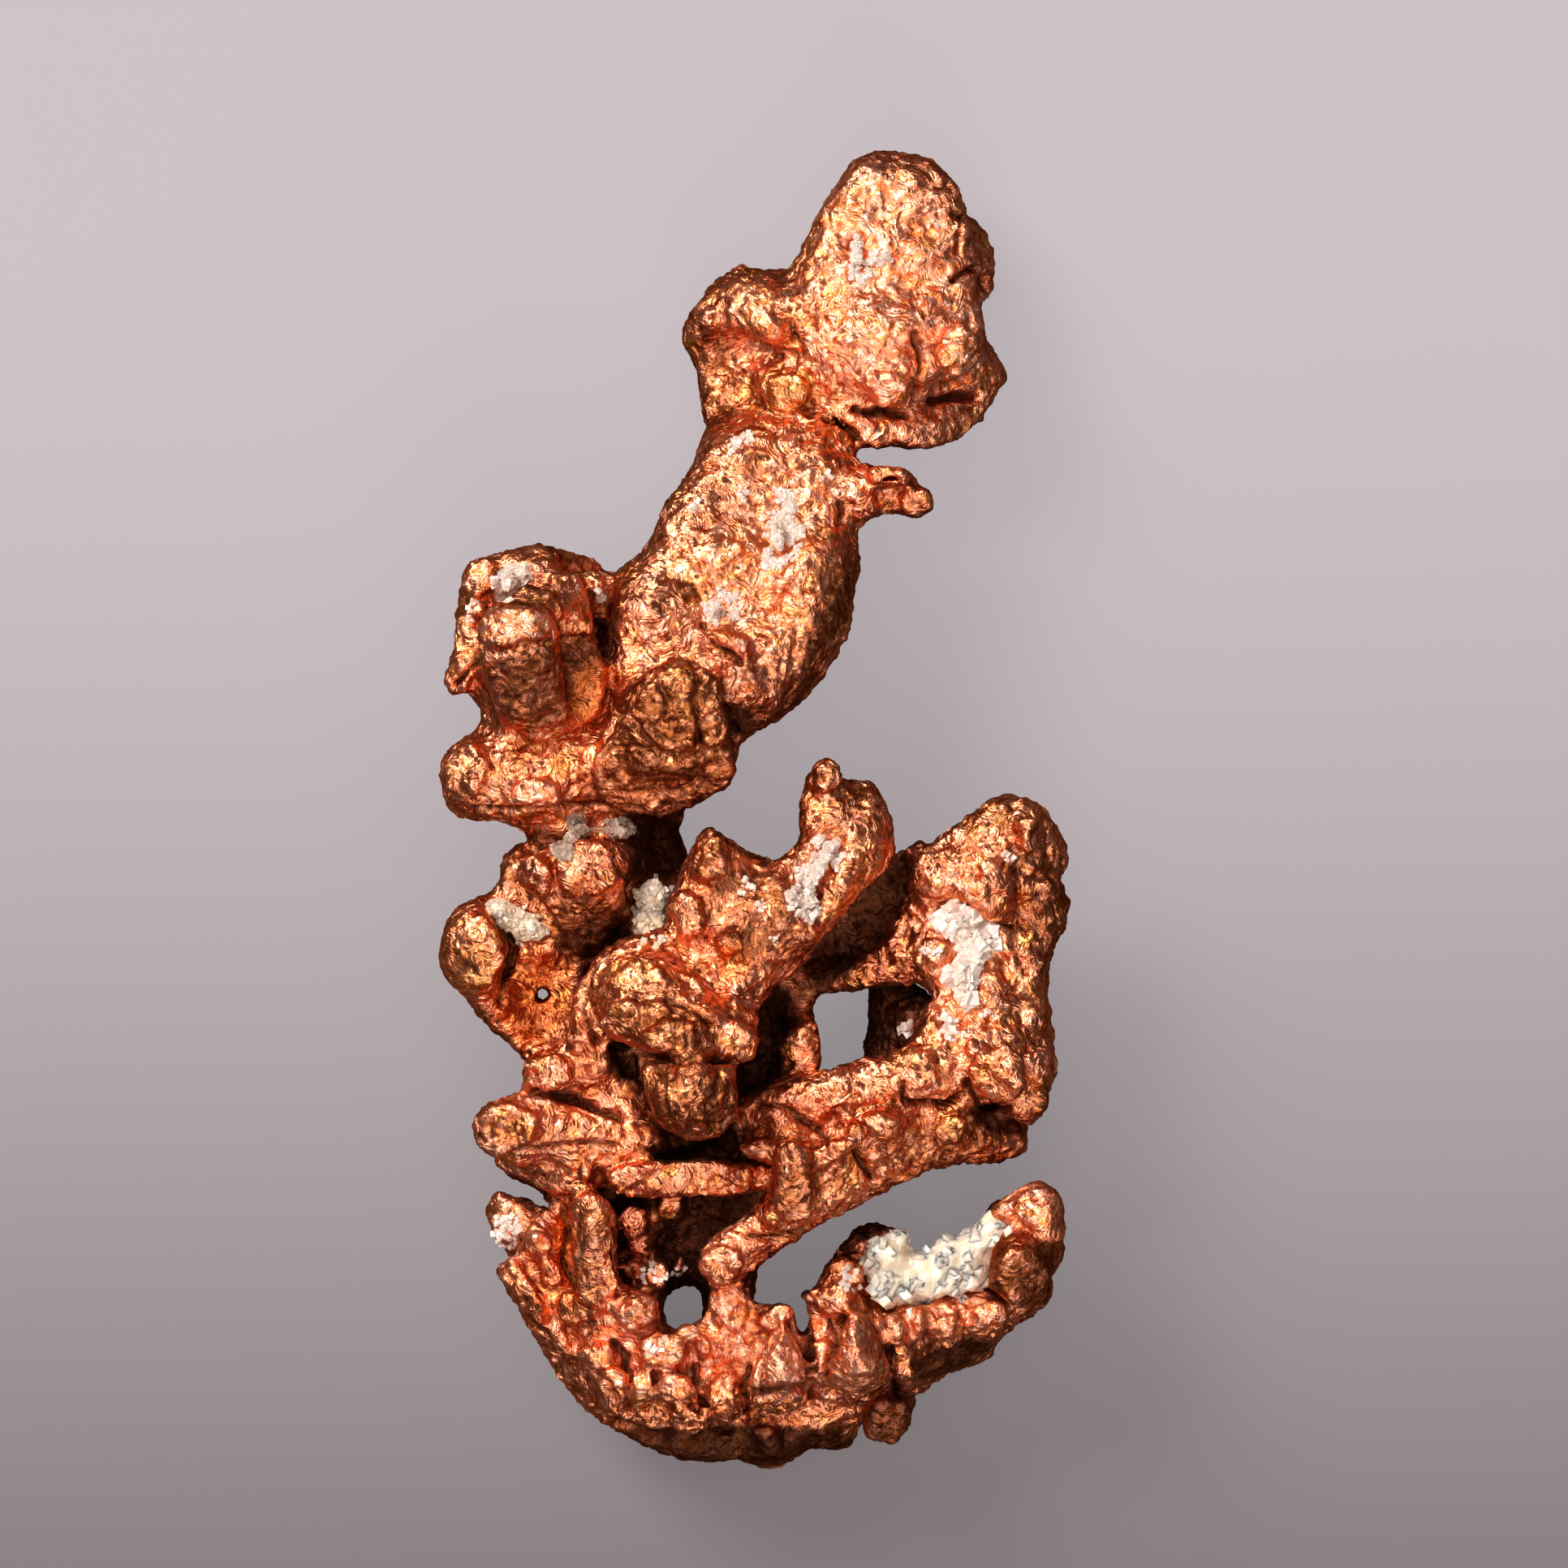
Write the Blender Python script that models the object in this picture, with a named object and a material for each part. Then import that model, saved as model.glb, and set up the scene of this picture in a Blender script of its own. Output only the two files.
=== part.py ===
"""A native copper specimen with quartz in its hollows, lying on its back. Blender 4.5, metres, +Z up.

It grew as one branching piece and is split at its main forks, so that each branch is one closed solid.
The tables are in millimetres: X to the right and Y towards the head as seen from above, and Z up from
the surface that it lies on. Every branch is a union of facetted hulls, made one skin by a voxel remesh.
"""

import zlib

import bmesh
import bpy
import numpy as np
from mathutils import Matrix, Vector

MM = 0.001
LENGTH = 45.0  # along Y
DEPTH = 14.0  # along Z
SURFACE = 0.12  # the height at which the rear knobs are worn flat, so that the piece lies still
GAP = 0.25  # between a branch and its neighbour, and round the quartz

COPPER = (0.72, 0.30, 0.15)
COPPER_ROUGHNESS = 0.38
QUARTZ = (0.83, 0.80, 0.75)
QUARTZ_ROUGHNESS = 0.45

COPPER_VOXEL = 0.26
GROOVE_VOXEL = 0.12
QUARTZ_VOXEL = 0.2
LUMP_CORNERS = 30
LUMP_ROUGHNESS = 0.07
CUTTER_TRIANGLES = 5000

COPPER_TRIANGLES = {
    "head": 1250,
    "stem": 1900,
    "trunk": 1800,
    "crown": 650,
    "loop": 1500,
    "arm": 1700,
}
QUARTZ_TRIANGLES = 100


# ---------------------------------------------------------------- forms


class Form:
    """Overlapping closed shapes in one mesh. Every number it takes is in millimetres."""

    def __init__(self):
        self.mesh = bmesh.new()

    def hull(self, points):
        """The convex hull of some points."""
        corners = [self.mesh.verts.new(p * MM) for p in points]
        made = bmesh.ops.convex_hull(self.mesh, input=corners, use_existing_faces=False)
        inside = {v for v in made["geom_interior"] if isinstance(v, bmesh.types.BMVert)}
        bmesh.ops.delete(self.mesh, geom=list(inside), context="VERTS")

    def lump(self, x, y, z, rx, ry, rz, turn=0.0):
        """A facetted lump with these half-widths, turned in degrees about Z."""
        self.hull(lump_points((x, y, z), (rx, ry, rz), turn))

    def limb(self, *stations, flat=1.0):
        """A tapering limb through stations (x, y, z, radius). Its depth is flat times its width."""
        rings = [lump_points((x, y, z), (r, r, r * flat), 0.0) for x, y, z, r in stations]
        for first, second in zip(rings, rings[1:]):
            self.hull(np.vstack([first, second]))

    def plate(self, outline, low, mid, high, back=0.8, front=0.82):
        """A plate with this outline at height mid, drawn in towards its faces at heights low and high."""
        edge = np.array(outline, float)
        centre = edge.mean(axis=0)
        rings = []
        for height, share in ((low, back), (mid, 1.0), (high, front)):
            ring = centre + (edge - centre) * share
            rings.append([self.mesh.verts.new(Vector((x, y, height)) * MM) for x, y in ring])
        turns_left = signed_area(edge) > 0
        for lower, upper in zip(rings, rings[1:]):
            for i in range(len(edge)):
                j = (i + 1) % len(edge)
                side = [lower[i], lower[j], upper[j], upper[i]]
                self.mesh.faces.new(side if turns_left else side[::-1])
        bottom, top = rings[0], rings[-1]
        self.mesh.faces.new(bottom[::-1] if turns_left else bottom)
        self.mesh.faces.new(top if turns_left else top[::-1])

    def object(self, name):
        """The shapes as one object, bent as the whole piece is."""
        for corner in self.mesh.verts:
            corner.co.z -= sag(corner.co.x / MM, corner.co.y / MM) * MM
        mesh = bpy.data.meshes.new(name)
        self.mesh.to_mesh(mesh)
        self.mesh.free()
        obj = bpy.data.objects.new(name, mesh)
        bpy.context.scene.collection.objects.link(obj)
        return obj


def sag(x, y):
    """How far the piece bends down at this place: at the head, round the arm, and on the right side."""
    return 3.4 * ease((y - 2) / 18) + 2.3 * ease((-8 - y) / 13) + 0.8 * ease((x - 3) / 8)


def ease(t):
    """From 0 at t = 0 to 1 at t = 1, level at both ends."""
    t = min(max(t, 0.0), 1.0)
    return t * t * (3 - 2 * t)


def lump_points(centre, radii, turn):
    """Points spread evenly over an ellipsoid and pulled in and out a little. The place seeds the pull."""
    seed = zlib.crc32(repr((centre, radii)).encode())
    rng = np.random.default_rng(seed)
    step = np.arange(LUMP_CORNERS) + 0.5
    polar = np.arccos(1 - 2 * step / LUMP_CORNERS)
    around = np.pi * (1 + 5**0.5) * step
    unit = np.stack(
        [np.sin(polar) * np.cos(around), np.sin(polar) * np.sin(around), np.cos(polar)], axis=1
    )
    spun = Matrix.Rotation(rng.uniform(0, 2 * np.pi), 3, Vector(rng.normal(size=3)).normalized())
    unit = unit @ np.array(spun)
    unit *= rng.uniform(1 - LUMP_ROUGHNESS, 1 + LUMP_ROUGHNESS, (LUMP_CORNERS, 1))
    turned = np.array(Matrix.Rotation(np.radians(turn), 3, "Z"))
    points = (unit * np.array(radii)) @ turned.T + np.array(centre)
    return [Vector(p) for p in points]


def signed_area(outline):
    x, y = outline[:, 0], outline[:, 1]
    return 0.5 * float(np.sum(x * np.roll(y, -1) - y * np.roll(x, -1)))


# ---------------------------------------------------------------- copper branches


def head(form):
    """The broad paddle at the top, with a raised rim on its right and a lobe on its left."""
    form.plate(
        [
            (1.1, 18.4), (1.6, 19.5), (2.0, 20.4), (2.6, 21.2), (3.2, 22.2), (3.9, 22.55), (5.0, 22.6),
            (6.0, 22.3), (6.5, 21.6), (6.9, 20.9), (7.0, 20.0), (7.4, 18.6), (7.6, 17.0), (7.6, 15.6),
            (6.8, 14.6), (5.0, 13.8), (3.0, 13.6), (1.6, 14.6), (1.0, 16.8),
        ],
        low=5.7, mid=7.3, high=9.2,
    )
    # crest along the top, and the rim down the right side
    form.lump(3.7, 21.9, 8.2, 0.6, 0.5, 0.9)
    form.lump(5.6, 21.6, 8.5, 0.9, 0.7, 0.8)
    form.limb(
        (6.2, 21.5, 8.6, 0.55), (6.8, 20.5, 8.8, 0.5), (7.0, 19.2, 8.9, 0.5),
        (7.4, 18.5, 8.4, 0.5),
    )
    form.limb(
        (6.9, 17.6, 9.1, 0.5), (7.4, 16.8, 9.0, 0.5), (7.4, 15.9, 8.9, 0.55),
        (6.7, 15.4, 9.1, 0.5),
    )
    form.limb((7.1, 20.0, 6.4, 0.6), (7.5, 19.2, 6.6, 0.7), (7.6, 18.0, 6.8, 0.65))
    form.limb((7.1, 15.6, 7.0, 1.1), (7.9, 15.1, 6.7, 0.7), (8.7, 14.75, 6.5, 0.22))
    # swellings of the front face
    form.lump(4.2, 16.4, 9.0, 1.9, 1.1, 1.1)
    form.lump(6.0, 16.8, 8.9, 1.0, 1.0, 1.0)
    form.lump(4.7, 14.9, 8.7, 1.4, 0.7, 1.1)
    form.lump(3.2, 20.3, 8.5, 1.2, 1.2, 0.8)
    form.lump(5.4, 18.9, 8.7, 1.4, 1.1, 0.8)
    # lower lip
    form.limb(
        (3.4, 12.8, 7.6, 0.6), (4.8, 12.95, 7.4, 0.72), (6.0, 13.0, 7.0, 0.8),
        (7.0, 13.5, 6.4, 0.8),
    )
    form.limb((7.0, 13.5, 6.4, 0.8), (7.6, 14.3, 6.2, 0.65))
    form.lump(5.0, 13.8, 6.2, 2.2, 1.0, 1.3)
    form.lump(2.8, 13.6, 6.8, 1.3, 1.2, 1.6)
    # left lobe, which hangs over the neck
    form.plate(
        [
            (1.5, 18.5), (0.6, 18.55), (-0.1, 18.6), (-0.5, 18.85), (-1.0, 18.6), (-1.4, 17.9), (-2.0, 17.3),
            (-2.5, 16.7), (-2.65, 16.1), (-2.1, 15.3), (-1.95, 14.0), (-1.9, 12.9), (2.4, 12.9), (2.0, 15.0),
        ],
        low=4.4, mid=5.9, high=6.9, front=0.9,
    )
    form.lump(-0.1, 17.3, 7.8, 1.35, 1.1, 1.3)
    form.lump(0.5, 16.6, 8.4, 0.8, 0.9, 1.0)
    form.lump(-1.5, 16.9, 7.2, 0.95, 0.75, 1.1, 20)
    form.lump(-2.1, 16.2, 6.4, 0.5, 0.6, 0.9)
    form.lump(0.9, 14.5, 7.4, 1.1, 1.0, 1.1)
    # the back
    form.lump(5.0, 17.0, 5.0, 1.6, 2.2, 1.95)
    form.lump(3.6, 20.6, 5.6, 1.3, 1.2, 1.1)
    form.lump(5.9, 14.6, 5.4, 1.5, 1.2, 1.3)
    form.lump(0.2, 15.2, 4.8, 1.7, 1.7, 1.2)
    form.lump(-1.0, 17.4, 5.2, 1.0, 0.9, 1.0)


def head_grooves(form):
    form.limb((8.3, 15.3, 7.4, 0.25), (7.4, 14.4, 8.0, 0.32), (6.2, 14.0, 8.6, 0.3))
    form.limb((3.0, 13.75, 8.6, 0.3), (4.6, 13.7, 8.8, 0.28), (6.0, 13.9, 8.7, 0.3))
    form.limb((7.6, 20.4, 8.6, 0.3), (6.7, 20.2, 9.6, 0.22))
    form.limb((8.0, 18.1, 8.6, 0.3), (7.0, 17.95, 9.6, 0.22))
    form.limb((2.6, 13.2, 8.8, 0.35), (2.3, 12.4, 8.8, 0.3))


def stem(form):
    """The thick bar below the head, with a side nub, a knobbly cluster on its left and a big blunt knob."""
    form.plate(
        [
            (-1.95, 13.3), (-2.0, 12.2), (-2.5, 11.4), (-3.2, 10.5), (-3.6, 9.1), (-4.4, 8.5), (-5.1, 7.8),
            (-5.3, 6.0), (-5.6, 4.0), (-5.0, 2.5), (-3.0, 2.0), (-0.9, 2.1), (0.7, 2.8), (1.9, 3.9),
            (2.7, 5.2), (3.35, 6.1), (3.5, 7.5), (3.4, 9.4), (2.9, 10.6), (3.2, 12.0), (3.3, 13.0),
            (2.7, 13.7), (0.4, 14.1),
        ],
        low=5.6, mid=6.8, high=8.8,
    )
    form.lump(1.6, 7.7, 8.3, 1.2, 2.2, 1.2)
    form.lump(-0.3, 11.9, 7.9, 2.0, 1.1, 1.2)
    form.lump(2.0, 12.7, 7.4, 1.2, 1.0, 1.2)
    form.lump(-2.2, 10.0, 7.8, 1.1, 1.3, 1.2)
    form.lump(-3.3, 6.9, 8.1, 1.7, 1.5, 1.2)
    form.lump(-1.4, 8.8, 8.5, 1.5, 0.9, 0.9)
    form.lump(0.3, 5.5, 8.4, 1.2, 0.9, 1.0)
    form.lump(-0.6, 4.3, 8.7, 0.9, 0.8, 0.9)
    form.lump(3.1, 8.7, 6.4, 0.6, 0.8, 1.2)
    form.lump(-5.3, 6.8, 5.0, 0.9, 1.3, 1.4)
    # side nub
    form.limb(
        (2.2, 11.3, 7.8, 0.9), (3.5, 11.1, 8.0, 0.72), (4.4, 11.45, 7.9, 0.38),
        (5.2, 11.35, 7.8, 0.36),
    )
    form.limb((3.4, 10.5, 7.2, 0.75), (4.5, 10.7, 7.2, 0.5), (5.45, 10.5, 7.6, 0.66))
    # big blunt knob: a ridge round a face that falls away, and a lip below the face
    form.limb((-3.3, 3.0, 6.0, 2.0), (-3.1, 2.8, 7.9, 2.0))
    form.limb((-4.7, 2.9, 9.0, 0.55), (-3.6, 4.1, 9.7, 0.6), (-2.4, 4.7, 10.3, 0.65))
    form.limb((-2.3, 4.6, 10.3, 0.7), (-1.7, 3.4, 9.7, 0.6), (-1.4, 2.2, 9.2, 0.55))
    form.limb(
        (-4.9, 2.1, 9.2, 0.6), (-3.7, 1.7, 9.8, 0.7), (-2.3, 1.7, 9.8, 0.7),
        (-1.35, 2.0, 9.2, 0.6),
    )
    form.limb((-4.6, 1.0, 7.8, 0.9), (-3.0, 0.8, 8.0, 1.0), (-1.7, 1.3, 7.8, 0.8))
    form.lump(-1.3, 1.6, 7.2, 0.7, 1.1, 1.6)
    # lower edge, running left into a blunt lobe
    form.plate(
        [
            (-10.6, 0.2), (-10.2, -0.25), (-8.7, -0.3), (-7.5, -0.9), (-6.4, -0.85), (-5.0, -0.35),
            (-2.8, -0.2), (-1.4, 0.5), (-1.0, 1.5), (-2.5, 2.6), (-5.5, 3.2), (-8.8, 3.2), (-10.4, 2.3),
            (-10.75, 1.2),
        ],
        low=4.6, mid=6.4, high=8.0,
    )
    form.limb((-6.3, 1.4, 7.4, 1.5), (-8.2, 1.2, 7.6, 1.2), (-9.6, 1.3, 7.4, 1.1))
    form.lump(-10.0, 1.2, 6.9, 0.8, 1.3, 1.4)
    form.lump(-7.4, 0.7, 8.0, 1.2, 0.7, 1.0, 15)
    # left cluster: a column with knobs on it and a cap across its top
    form.lump(-8.2, 5.0, 6.6, 1.5, 2.7, 1.8)
    form.lump(-6.3, 4.8, 5.2, 1.4, 2.6, 1.3)
    form.lump(-9.0, 7.8, 7.6, 1.05, 0.95, 1.5)
    form.lump(-7.5, 8.1, 7.7, 1.4, 1.0, 1.6)
    form.lump(-6.2, 7.9, 7.0, 1.0, 0.95, 1.5)
    form.lump(-6.3, 6.7, 7.6, 0.75, 1.3, 1.5)
    form.limb((-8.1, 4.9, 8.6, 1.4), (-8.1, 6.1, 10.8, 1.1))
    form.lump(-8.75, 6.4, 11.1, 0.6, 0.8, 0.8)
    form.lump(-7.5, 6.5, 11.2, 0.6, 0.7, 0.8)
    form.lump(-7.9, 3.8, 9.2, 1.3, 1.1, 1.4)
    form.limb((-9.3, 5.2, 7.2, 1.0), (-10.25, 4.6, 6.8, 0.55))
    form.lump(-9.6, 6.5, 7.6, 0.6, 1.0, 1.3)
    # the back
    form.lump(0.2, 10.6, 5.4, 1.8, 2.0, 1.4)
    form.lump(-1.4, 7.2, 5.2, 1.9, 1.6, 1.6)
    form.lump(1.6, 6.0, 5.6, 1.4, 1.5, 1.2)
    form.lump(-2.6, 4.0, 4.9, 1.7, 1.4, 1.3)
    form.limb((-3.6, 2.0, 4.6, 1.8), (-3.8, -0.2, 3.8, 1.35))
    form.lump(-7.2, 3.4, 4.0, 2.0, 2.2, 1.8)
    form.limb((-7.0, 2.0, 3.4, 1.8), (-7.4, 1.6, 1.2, 1.4))
    form.lump(-8.9, 4.6, 3.4, 1.2, 1.4, 1.4)


def stem_grooves(form):
    form.limb((-2.1, 6.5, 9.3, 0.22), (-1.2, 5.7, 9.5, 0.26), (-0.4, 5.0, 9.4, 0.22))
    form.lump(-0.2, 3.0, 8.9, 0.8, 0.5, 0.9, 20)
    form.limb((-5.2, 3.6, 8.6, 0.4), (-5.9, 5.0, 8.0, 0.6), (-5.6, 6.2, 7.6, 0.4))


def trunk(form):
    """The crowded middle: knobs and a claw on the left, a granular brow and a column that points up."""
    form.lump(-3.4, -8.0, 5.8, 2.6, 3.6, 1.9)
    form.lump(-4.4, -4.2, 5.5, 2.4, 2.4, 1.6)
    form.limb((-4.9, 0.0, 5.8, 1.2), (-4.9, -1.8, 5.8, 1.4))
    form.limb((-3.6, 0.2, 3.8, 1.1), (-3.5, -1.8, 3.8, 1.25), (-3.0, -4.2, 4.2, 1.6))
    # paired knobs under the stem
    form.limb((-5.2, -1.8, 8.2, 1.0), (-6.6, -2.1, 8.6, 1.0), (-7.4, -2.15, 8.4, 0.75))
    form.lump(-5.0, -1.5, 7.4, 1.1, 1.0, 1.4)
    form.lump(-7.9, -2.0, 6.0, 0.95, 0.9, 1.4)
    form.lump(-5.7, -3.6, 6.2, 1.4, 1.2, 1.4)
    # claw on the left
    form.limb((-9.6, -3.9, 7.8, 1.0), (-9.7, -5.1, 7.8, 1.18))
    form.lump(-8.4, -3.8, 6.2, 1.5, 1.0, 1.1)
    form.limb((-9.5, -3.3, 7.0, 0.5), (-8.5, -3.1, 6.9, 0.42), (-7.5, -3.5, 6.7, 0.42))
    form.lump(-7.4, -4.5, 6.6, 0.9, 0.6, 0.8)
    form.lump(-7.4, -3.2, 5.8, 1.0, 0.8, 0.8)
    form.limb((-9.4, -5.8, 6.8, 0.8), (-8.7, -6.9, 6.4, 0.62), (-8.1, -7.8, 6.4, 0.5))
    form.plate(
        [
            (-9.2, -4.4), (-7.9, -4.2), (-6.0, -4.6), (-5.2, -5.8), (-5.2, -7.4), (-6.2, -8.3), (-8.0, -8.1),
            (-8.8, -7.2),
        ],
        low=4.8, mid=5.6, high=6.4, back=0.9, front=0.95,
    )
    # shoulder, brow and column
    form.limb(
        (-3.4, -4.9, 9.2, 1.0), (-4.7, -5.3, 9.0, 1.0), (-5.3, -6.4, 8.8, 0.95),
        (-5.7, -7.8, 8.4, 0.85),
    )
    form.lump(-3.4, -6.0, 9.8, 1.8, 1.2, 1.6)
    form.limb(
        (-4.5, -7.0, 10.6, 0.85), (-3.2, -7.1, 11.3, 1.0), (-1.8, -7.2, 11.1, 0.95),
        (-0.6, -7.0, 10.0, 0.85),
    )
    form.lump(-2.6, -7.4, 8.8, 1.8, 0.9, 1.9)
    form.limb((-2.3, -8.1, 9.2, 1.2), (-2.25, -9.6, 12.5, 1.42))
    form.lump(-0.6, -8.1, 9.2, 0.7, 0.5, 0.9)
    # knobs down the left side
    form.lump(-7.15, -8.75, 8.2, 0.9, 0.9, 1.0)
    form.lump(-5.6, -8.6, 8.0, 0.95, 0.95, 1.1)
    form.lump(-6.4, -9.0, 6.4, 1.6, 1.1, 1.4)
    form.limb((-8.55, -10.8, 8.4, 1.2), (-7.0, -10.95, 8.0, 1.15), (-5.2, -11.2, 7.8, 1.2))
    form.lump(-4.3, -9.8, 7.0, 0.9, 1.5, 1.5)
    form.lump(-4.2, -11.3, 7.6, 1.5, 1.2, 1.4)
    form.lump(-2.6, -11.0, 6.8, 1.0, 0.6, 1.0)
    form.lump(-6.2, -12.3, 6.8, 1.3, 0.9, 1.2)
    # thin strut to the right
    form.limb(
        (-4.4, -12.3, 7.4, 0.75), (-2.8, -12.35, 7.6, 0.58), (-1.2, -12.2, 7.7, 0.6),
        (0.5, -12.2, 7.8, 0.5),
    )
    # the back, seen as the dark floor of the gaps
    form.lump(-5.6, -9.8, 4.4, 1.8, 1.8, 1.6)
    form.lump(-1.4, -5.8, 5.4, 1.8, 1.6, 1.4)
    form.lump(-0.2, -8.2, 4.6, 1.7, 2.4, 1.3)
    form.lump(-1.8, -11.2, 4.8, 2.6, 1.6, 1.2)
    form.lump(-7.4, -12.3, 4.4, 1.4, 1.2, 1.1)
    form.lump(-5.6, -6.0, 3.8, 1.7, 1.5, 1.5)
    form.lump(-3.0, -8.6, 3.8, 1.4, 1.5, 1.5)
    form.lump(-8.4, -5.0, 4.6, 1.3, 1.2, 1.3)


def trunk_grooves(form):
    form.limb((-4.3, -8.2, 8.8, 0.4), (-4.2, -9.3, 8.6, 0.35))
    form.limb((-3.8, -11.4, 8.8, 0.3), (-2.4, -11.5, 8.4, 0.35), (-1.0, -11.4, 8.2, 0.35))
    form.limb((-7.3, -6.15, 4.0, 0.3), (-7.3, -6.15, 7.4, 0.3))
    form.limb((-6.6, -3.1, 8.2, 0.5), (-5.4, -3.4, 8.2, 0.6), (-4.6, -3.2, 8.4, 0.4))


def crown(form):
    """The fork on the upper right of the middle: a spike on its left and a two-tipped finger."""
    form.limb(
        (-0.9, -4.5, 9.0, 1.7), (0.8, -3.5, 9.2, 1.6), (2.2, -2.4, 9.2, 1.4), (3.1, -1.2, 8.9, 1.35),
        (3.5, -0.1, 8.5, 1.15),
    )
    form.limb((2.6, -0.7, 9.0, 1.15), (2.2, 0.5, 9.1, 0.85), (2.25, 1.25, 9.1, 0.62))
    form.lump(3.75, 0.1, 8.1, 0.9, 1.2, 1.1)
    form.lump(3.95, -1.2, 8.2, 0.85, 1.2, 1.2)
    form.limb((-1.3, -2.7, 9.0, 1.35), (-1.5, -1.4, 9.3, 0.85), (-1.6, -0.4, 9.4, 0.25))
    form.lump(-0.2, -2.2, 8.8, 1.3, 0.8, 1.1, -30)
    form.lump(-2.4, -3.3, 9.3, 0.7, 0.95, 1.0)
    form.lump(-2.6, -4.2, 9.1, 0.55, 0.55, 0.8)
    form.lump(-0.6, -5.8, 9.6, 1.25, 1.0, 1.2)
    form.lump(0.9, -4.9, 8.6, 0.8, 0.9, 1.0)
    form.lump(-1.8, -5.4, 9.4, 0.7, 0.6, 1.0)
    form.lump(0.0, -4.6, 6.8, 1.5, 1.3, 1.2)


def crown_grooves(form):
    form.limb((3.0, 1.4, 8.8, 0.2), (3.1, 0.2, 9.8, 0.25), (3.4, -1.0, 10.2, 0.22))


def loop(form):
    """The branch on the right that bends round a hole, and the long slanting bar below it."""
    # top knob and right edge
    form.limb((6.3, -2.0, 7.4, 1.05), (7.5, -1.0, 7.8, 1.0), (8.5, -0.5, 8.0, 1.2))
    form.lump(9.0, -0.7, 7.8, 1.15, 1.2, 1.3)
    form.limb((9.4, -0.9, 7.4, 0.95), (10.2, -1.4, 7.2, 0.55), (10.75, -1.85, 7.2, 0.18))
    form.lump(9.5, -2.6, 7.2, 1.05, 0.85, 1.4)
    form.lump(9.7, -3.5, 6.8, 0.95, 0.95, 1.4)
    form.lump(9.1, -4.7, 7.0, 1.1, 0.9, 1.5)
    form.lump(9.0, -5.8, 7.0, 1.0, 0.9, 1.4)
    form.lump(9.2, -7.1, 7.4, 0.95, 1.2, 1.4)
    form.lump(9.2, -8.6, 7.4, 1.2, 1.15, 1.4)
    form.limb((8.8, -9.2, 7.8, 1.0), (9.1, -10.2, 7.8, 0.45))
    # broad face
    form.lump(7.9, -2.4, 8.4, 1.15, 1.2, 1.1)
    form.lump(6.1, -2.3, 7.8, 1.0, 1.3, 1.2)
    form.lump(7.3, -4.3, 7.6, 1.7, 1.7, 1.1)
    form.lump(7.4, -6.1, 7.8, 1.3, 1.1, 1.3)
    form.lump(6.1, -4.9, 8.0, 0.8, 0.8, 1.0)
    form.lump(5.5, -4.2, 6.8, 1.1, 1.3, 1.0)
    form.lump(8.2, -6.7, 8.0, 0.9, 0.9, 1.0)
    form.lump(7.9, -8.3, 8.7, 1.2, 1.1, 1.1)
    form.lump(6.2, -7.4, 8.0, 0.85, 1.1, 1.0)
    form.lump(7.1, -7.3, 6.4, 1.2, 1.2, 1.2)
    # branch back to the middle, under the hole
    form.limb(
        (7.2, -8.9, 8.2, 1.1), (5.5, -8.9, 8.4, 1.1), (3.8, -9.3, 8.5, 0.95), (2.2, -9.6, 8.6, 0.95),
        (0.8, -10.0, 8.4, 0.9), (-0.4, -10.4, 7.8, 0.8),
    )
    form.lump(1.2, -11.1, 8.4, 1.1, 0.6, 0.8)
    form.lump(0.1, -11.4, 7.6, 0.9, 0.55, 0.8)
    form.lump(3.1, -10.9, 6.8, 1.5, 1.0, 1.2)
    # struts over and behind the hole
    form.limb(
        (6.0, -4.7, 7.0, 1.1), (4.8, -5.1, 6.9, 0.85), (3.6, -5.6, 6.6, 0.66),
        (2.4, -5.75, 6.0, 0.5), (0.8, -5.8, 5.4, 0.8),
    )
    form.limb(
        (5.8, -1.9, 5.2, 0.9), (4.4, -2.9, 4.6, 1.2), (2.8, -4.1, 4.2, 1.3), (1.2, -5.2, 4.4, 1.3),
    )
    form.lump(4.6, -4.4, 4.8, 1.4, 1.0, 1.0)
    form.limb((4.4, -5.9, 4.8, 0.8), (4.75, -7.2, 4.2, 1.0), (4.4, -8.9, 4.8, 0.9))
    form.lump(5.6, -7.6, 5.6, 1.1, 1.7, 1.2)
    form.limb(
        (1.0, -9.4, 7.2, 0.7), (1.4, -8.3, 6.9, 0.64), (1.7, -7.4, 6.6, 0.46),
        (1.0, -6.4, 5.6, 0.7),
    )
    # slanting bar, with a block and small knobs on it
    form.limb(
        (8.7, -11.25, 6.4, 0.75), (7.4, -11.1, 6.9, 1.0), (6.3, -11.0, 7.3, 1.08), (5.0, -11.3, 7.7, 1.1),
        (3.6, -12.0, 8.0, 1.1), (2.2, -12.9, 8.4, 1.08), (0.9, -13.8, 8.6, 1.0), (-0.2, -14.6, 8.7, 0.94),
        (-1.2, -15.2, 8.7, 0.86),
    )
    form.lump(-1.25, -15.2, 8.9, 0.9, 0.8, 0.9)
    form.limb((1.15, -11.3, 9.3, 0.6), (1.1, -13.0, 9.5, 0.64))
    form.lump(2.6, -11.6, 9.3, 0.9, 0.6, 0.8, 25)
    form.lump(4.3, -10.6, 8.9, 0.75, 0.6, 0.9)
    form.lump(6.5, -10.5, 8.2, 0.8, 0.5, 0.7)
    form.lump(0.5, -13.75, 9.4, 0.36, 0.36, 0.4)
    form.lump(3.4, -12.6, 6.8, 1.3, 0.75, 1.3, 30)
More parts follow.
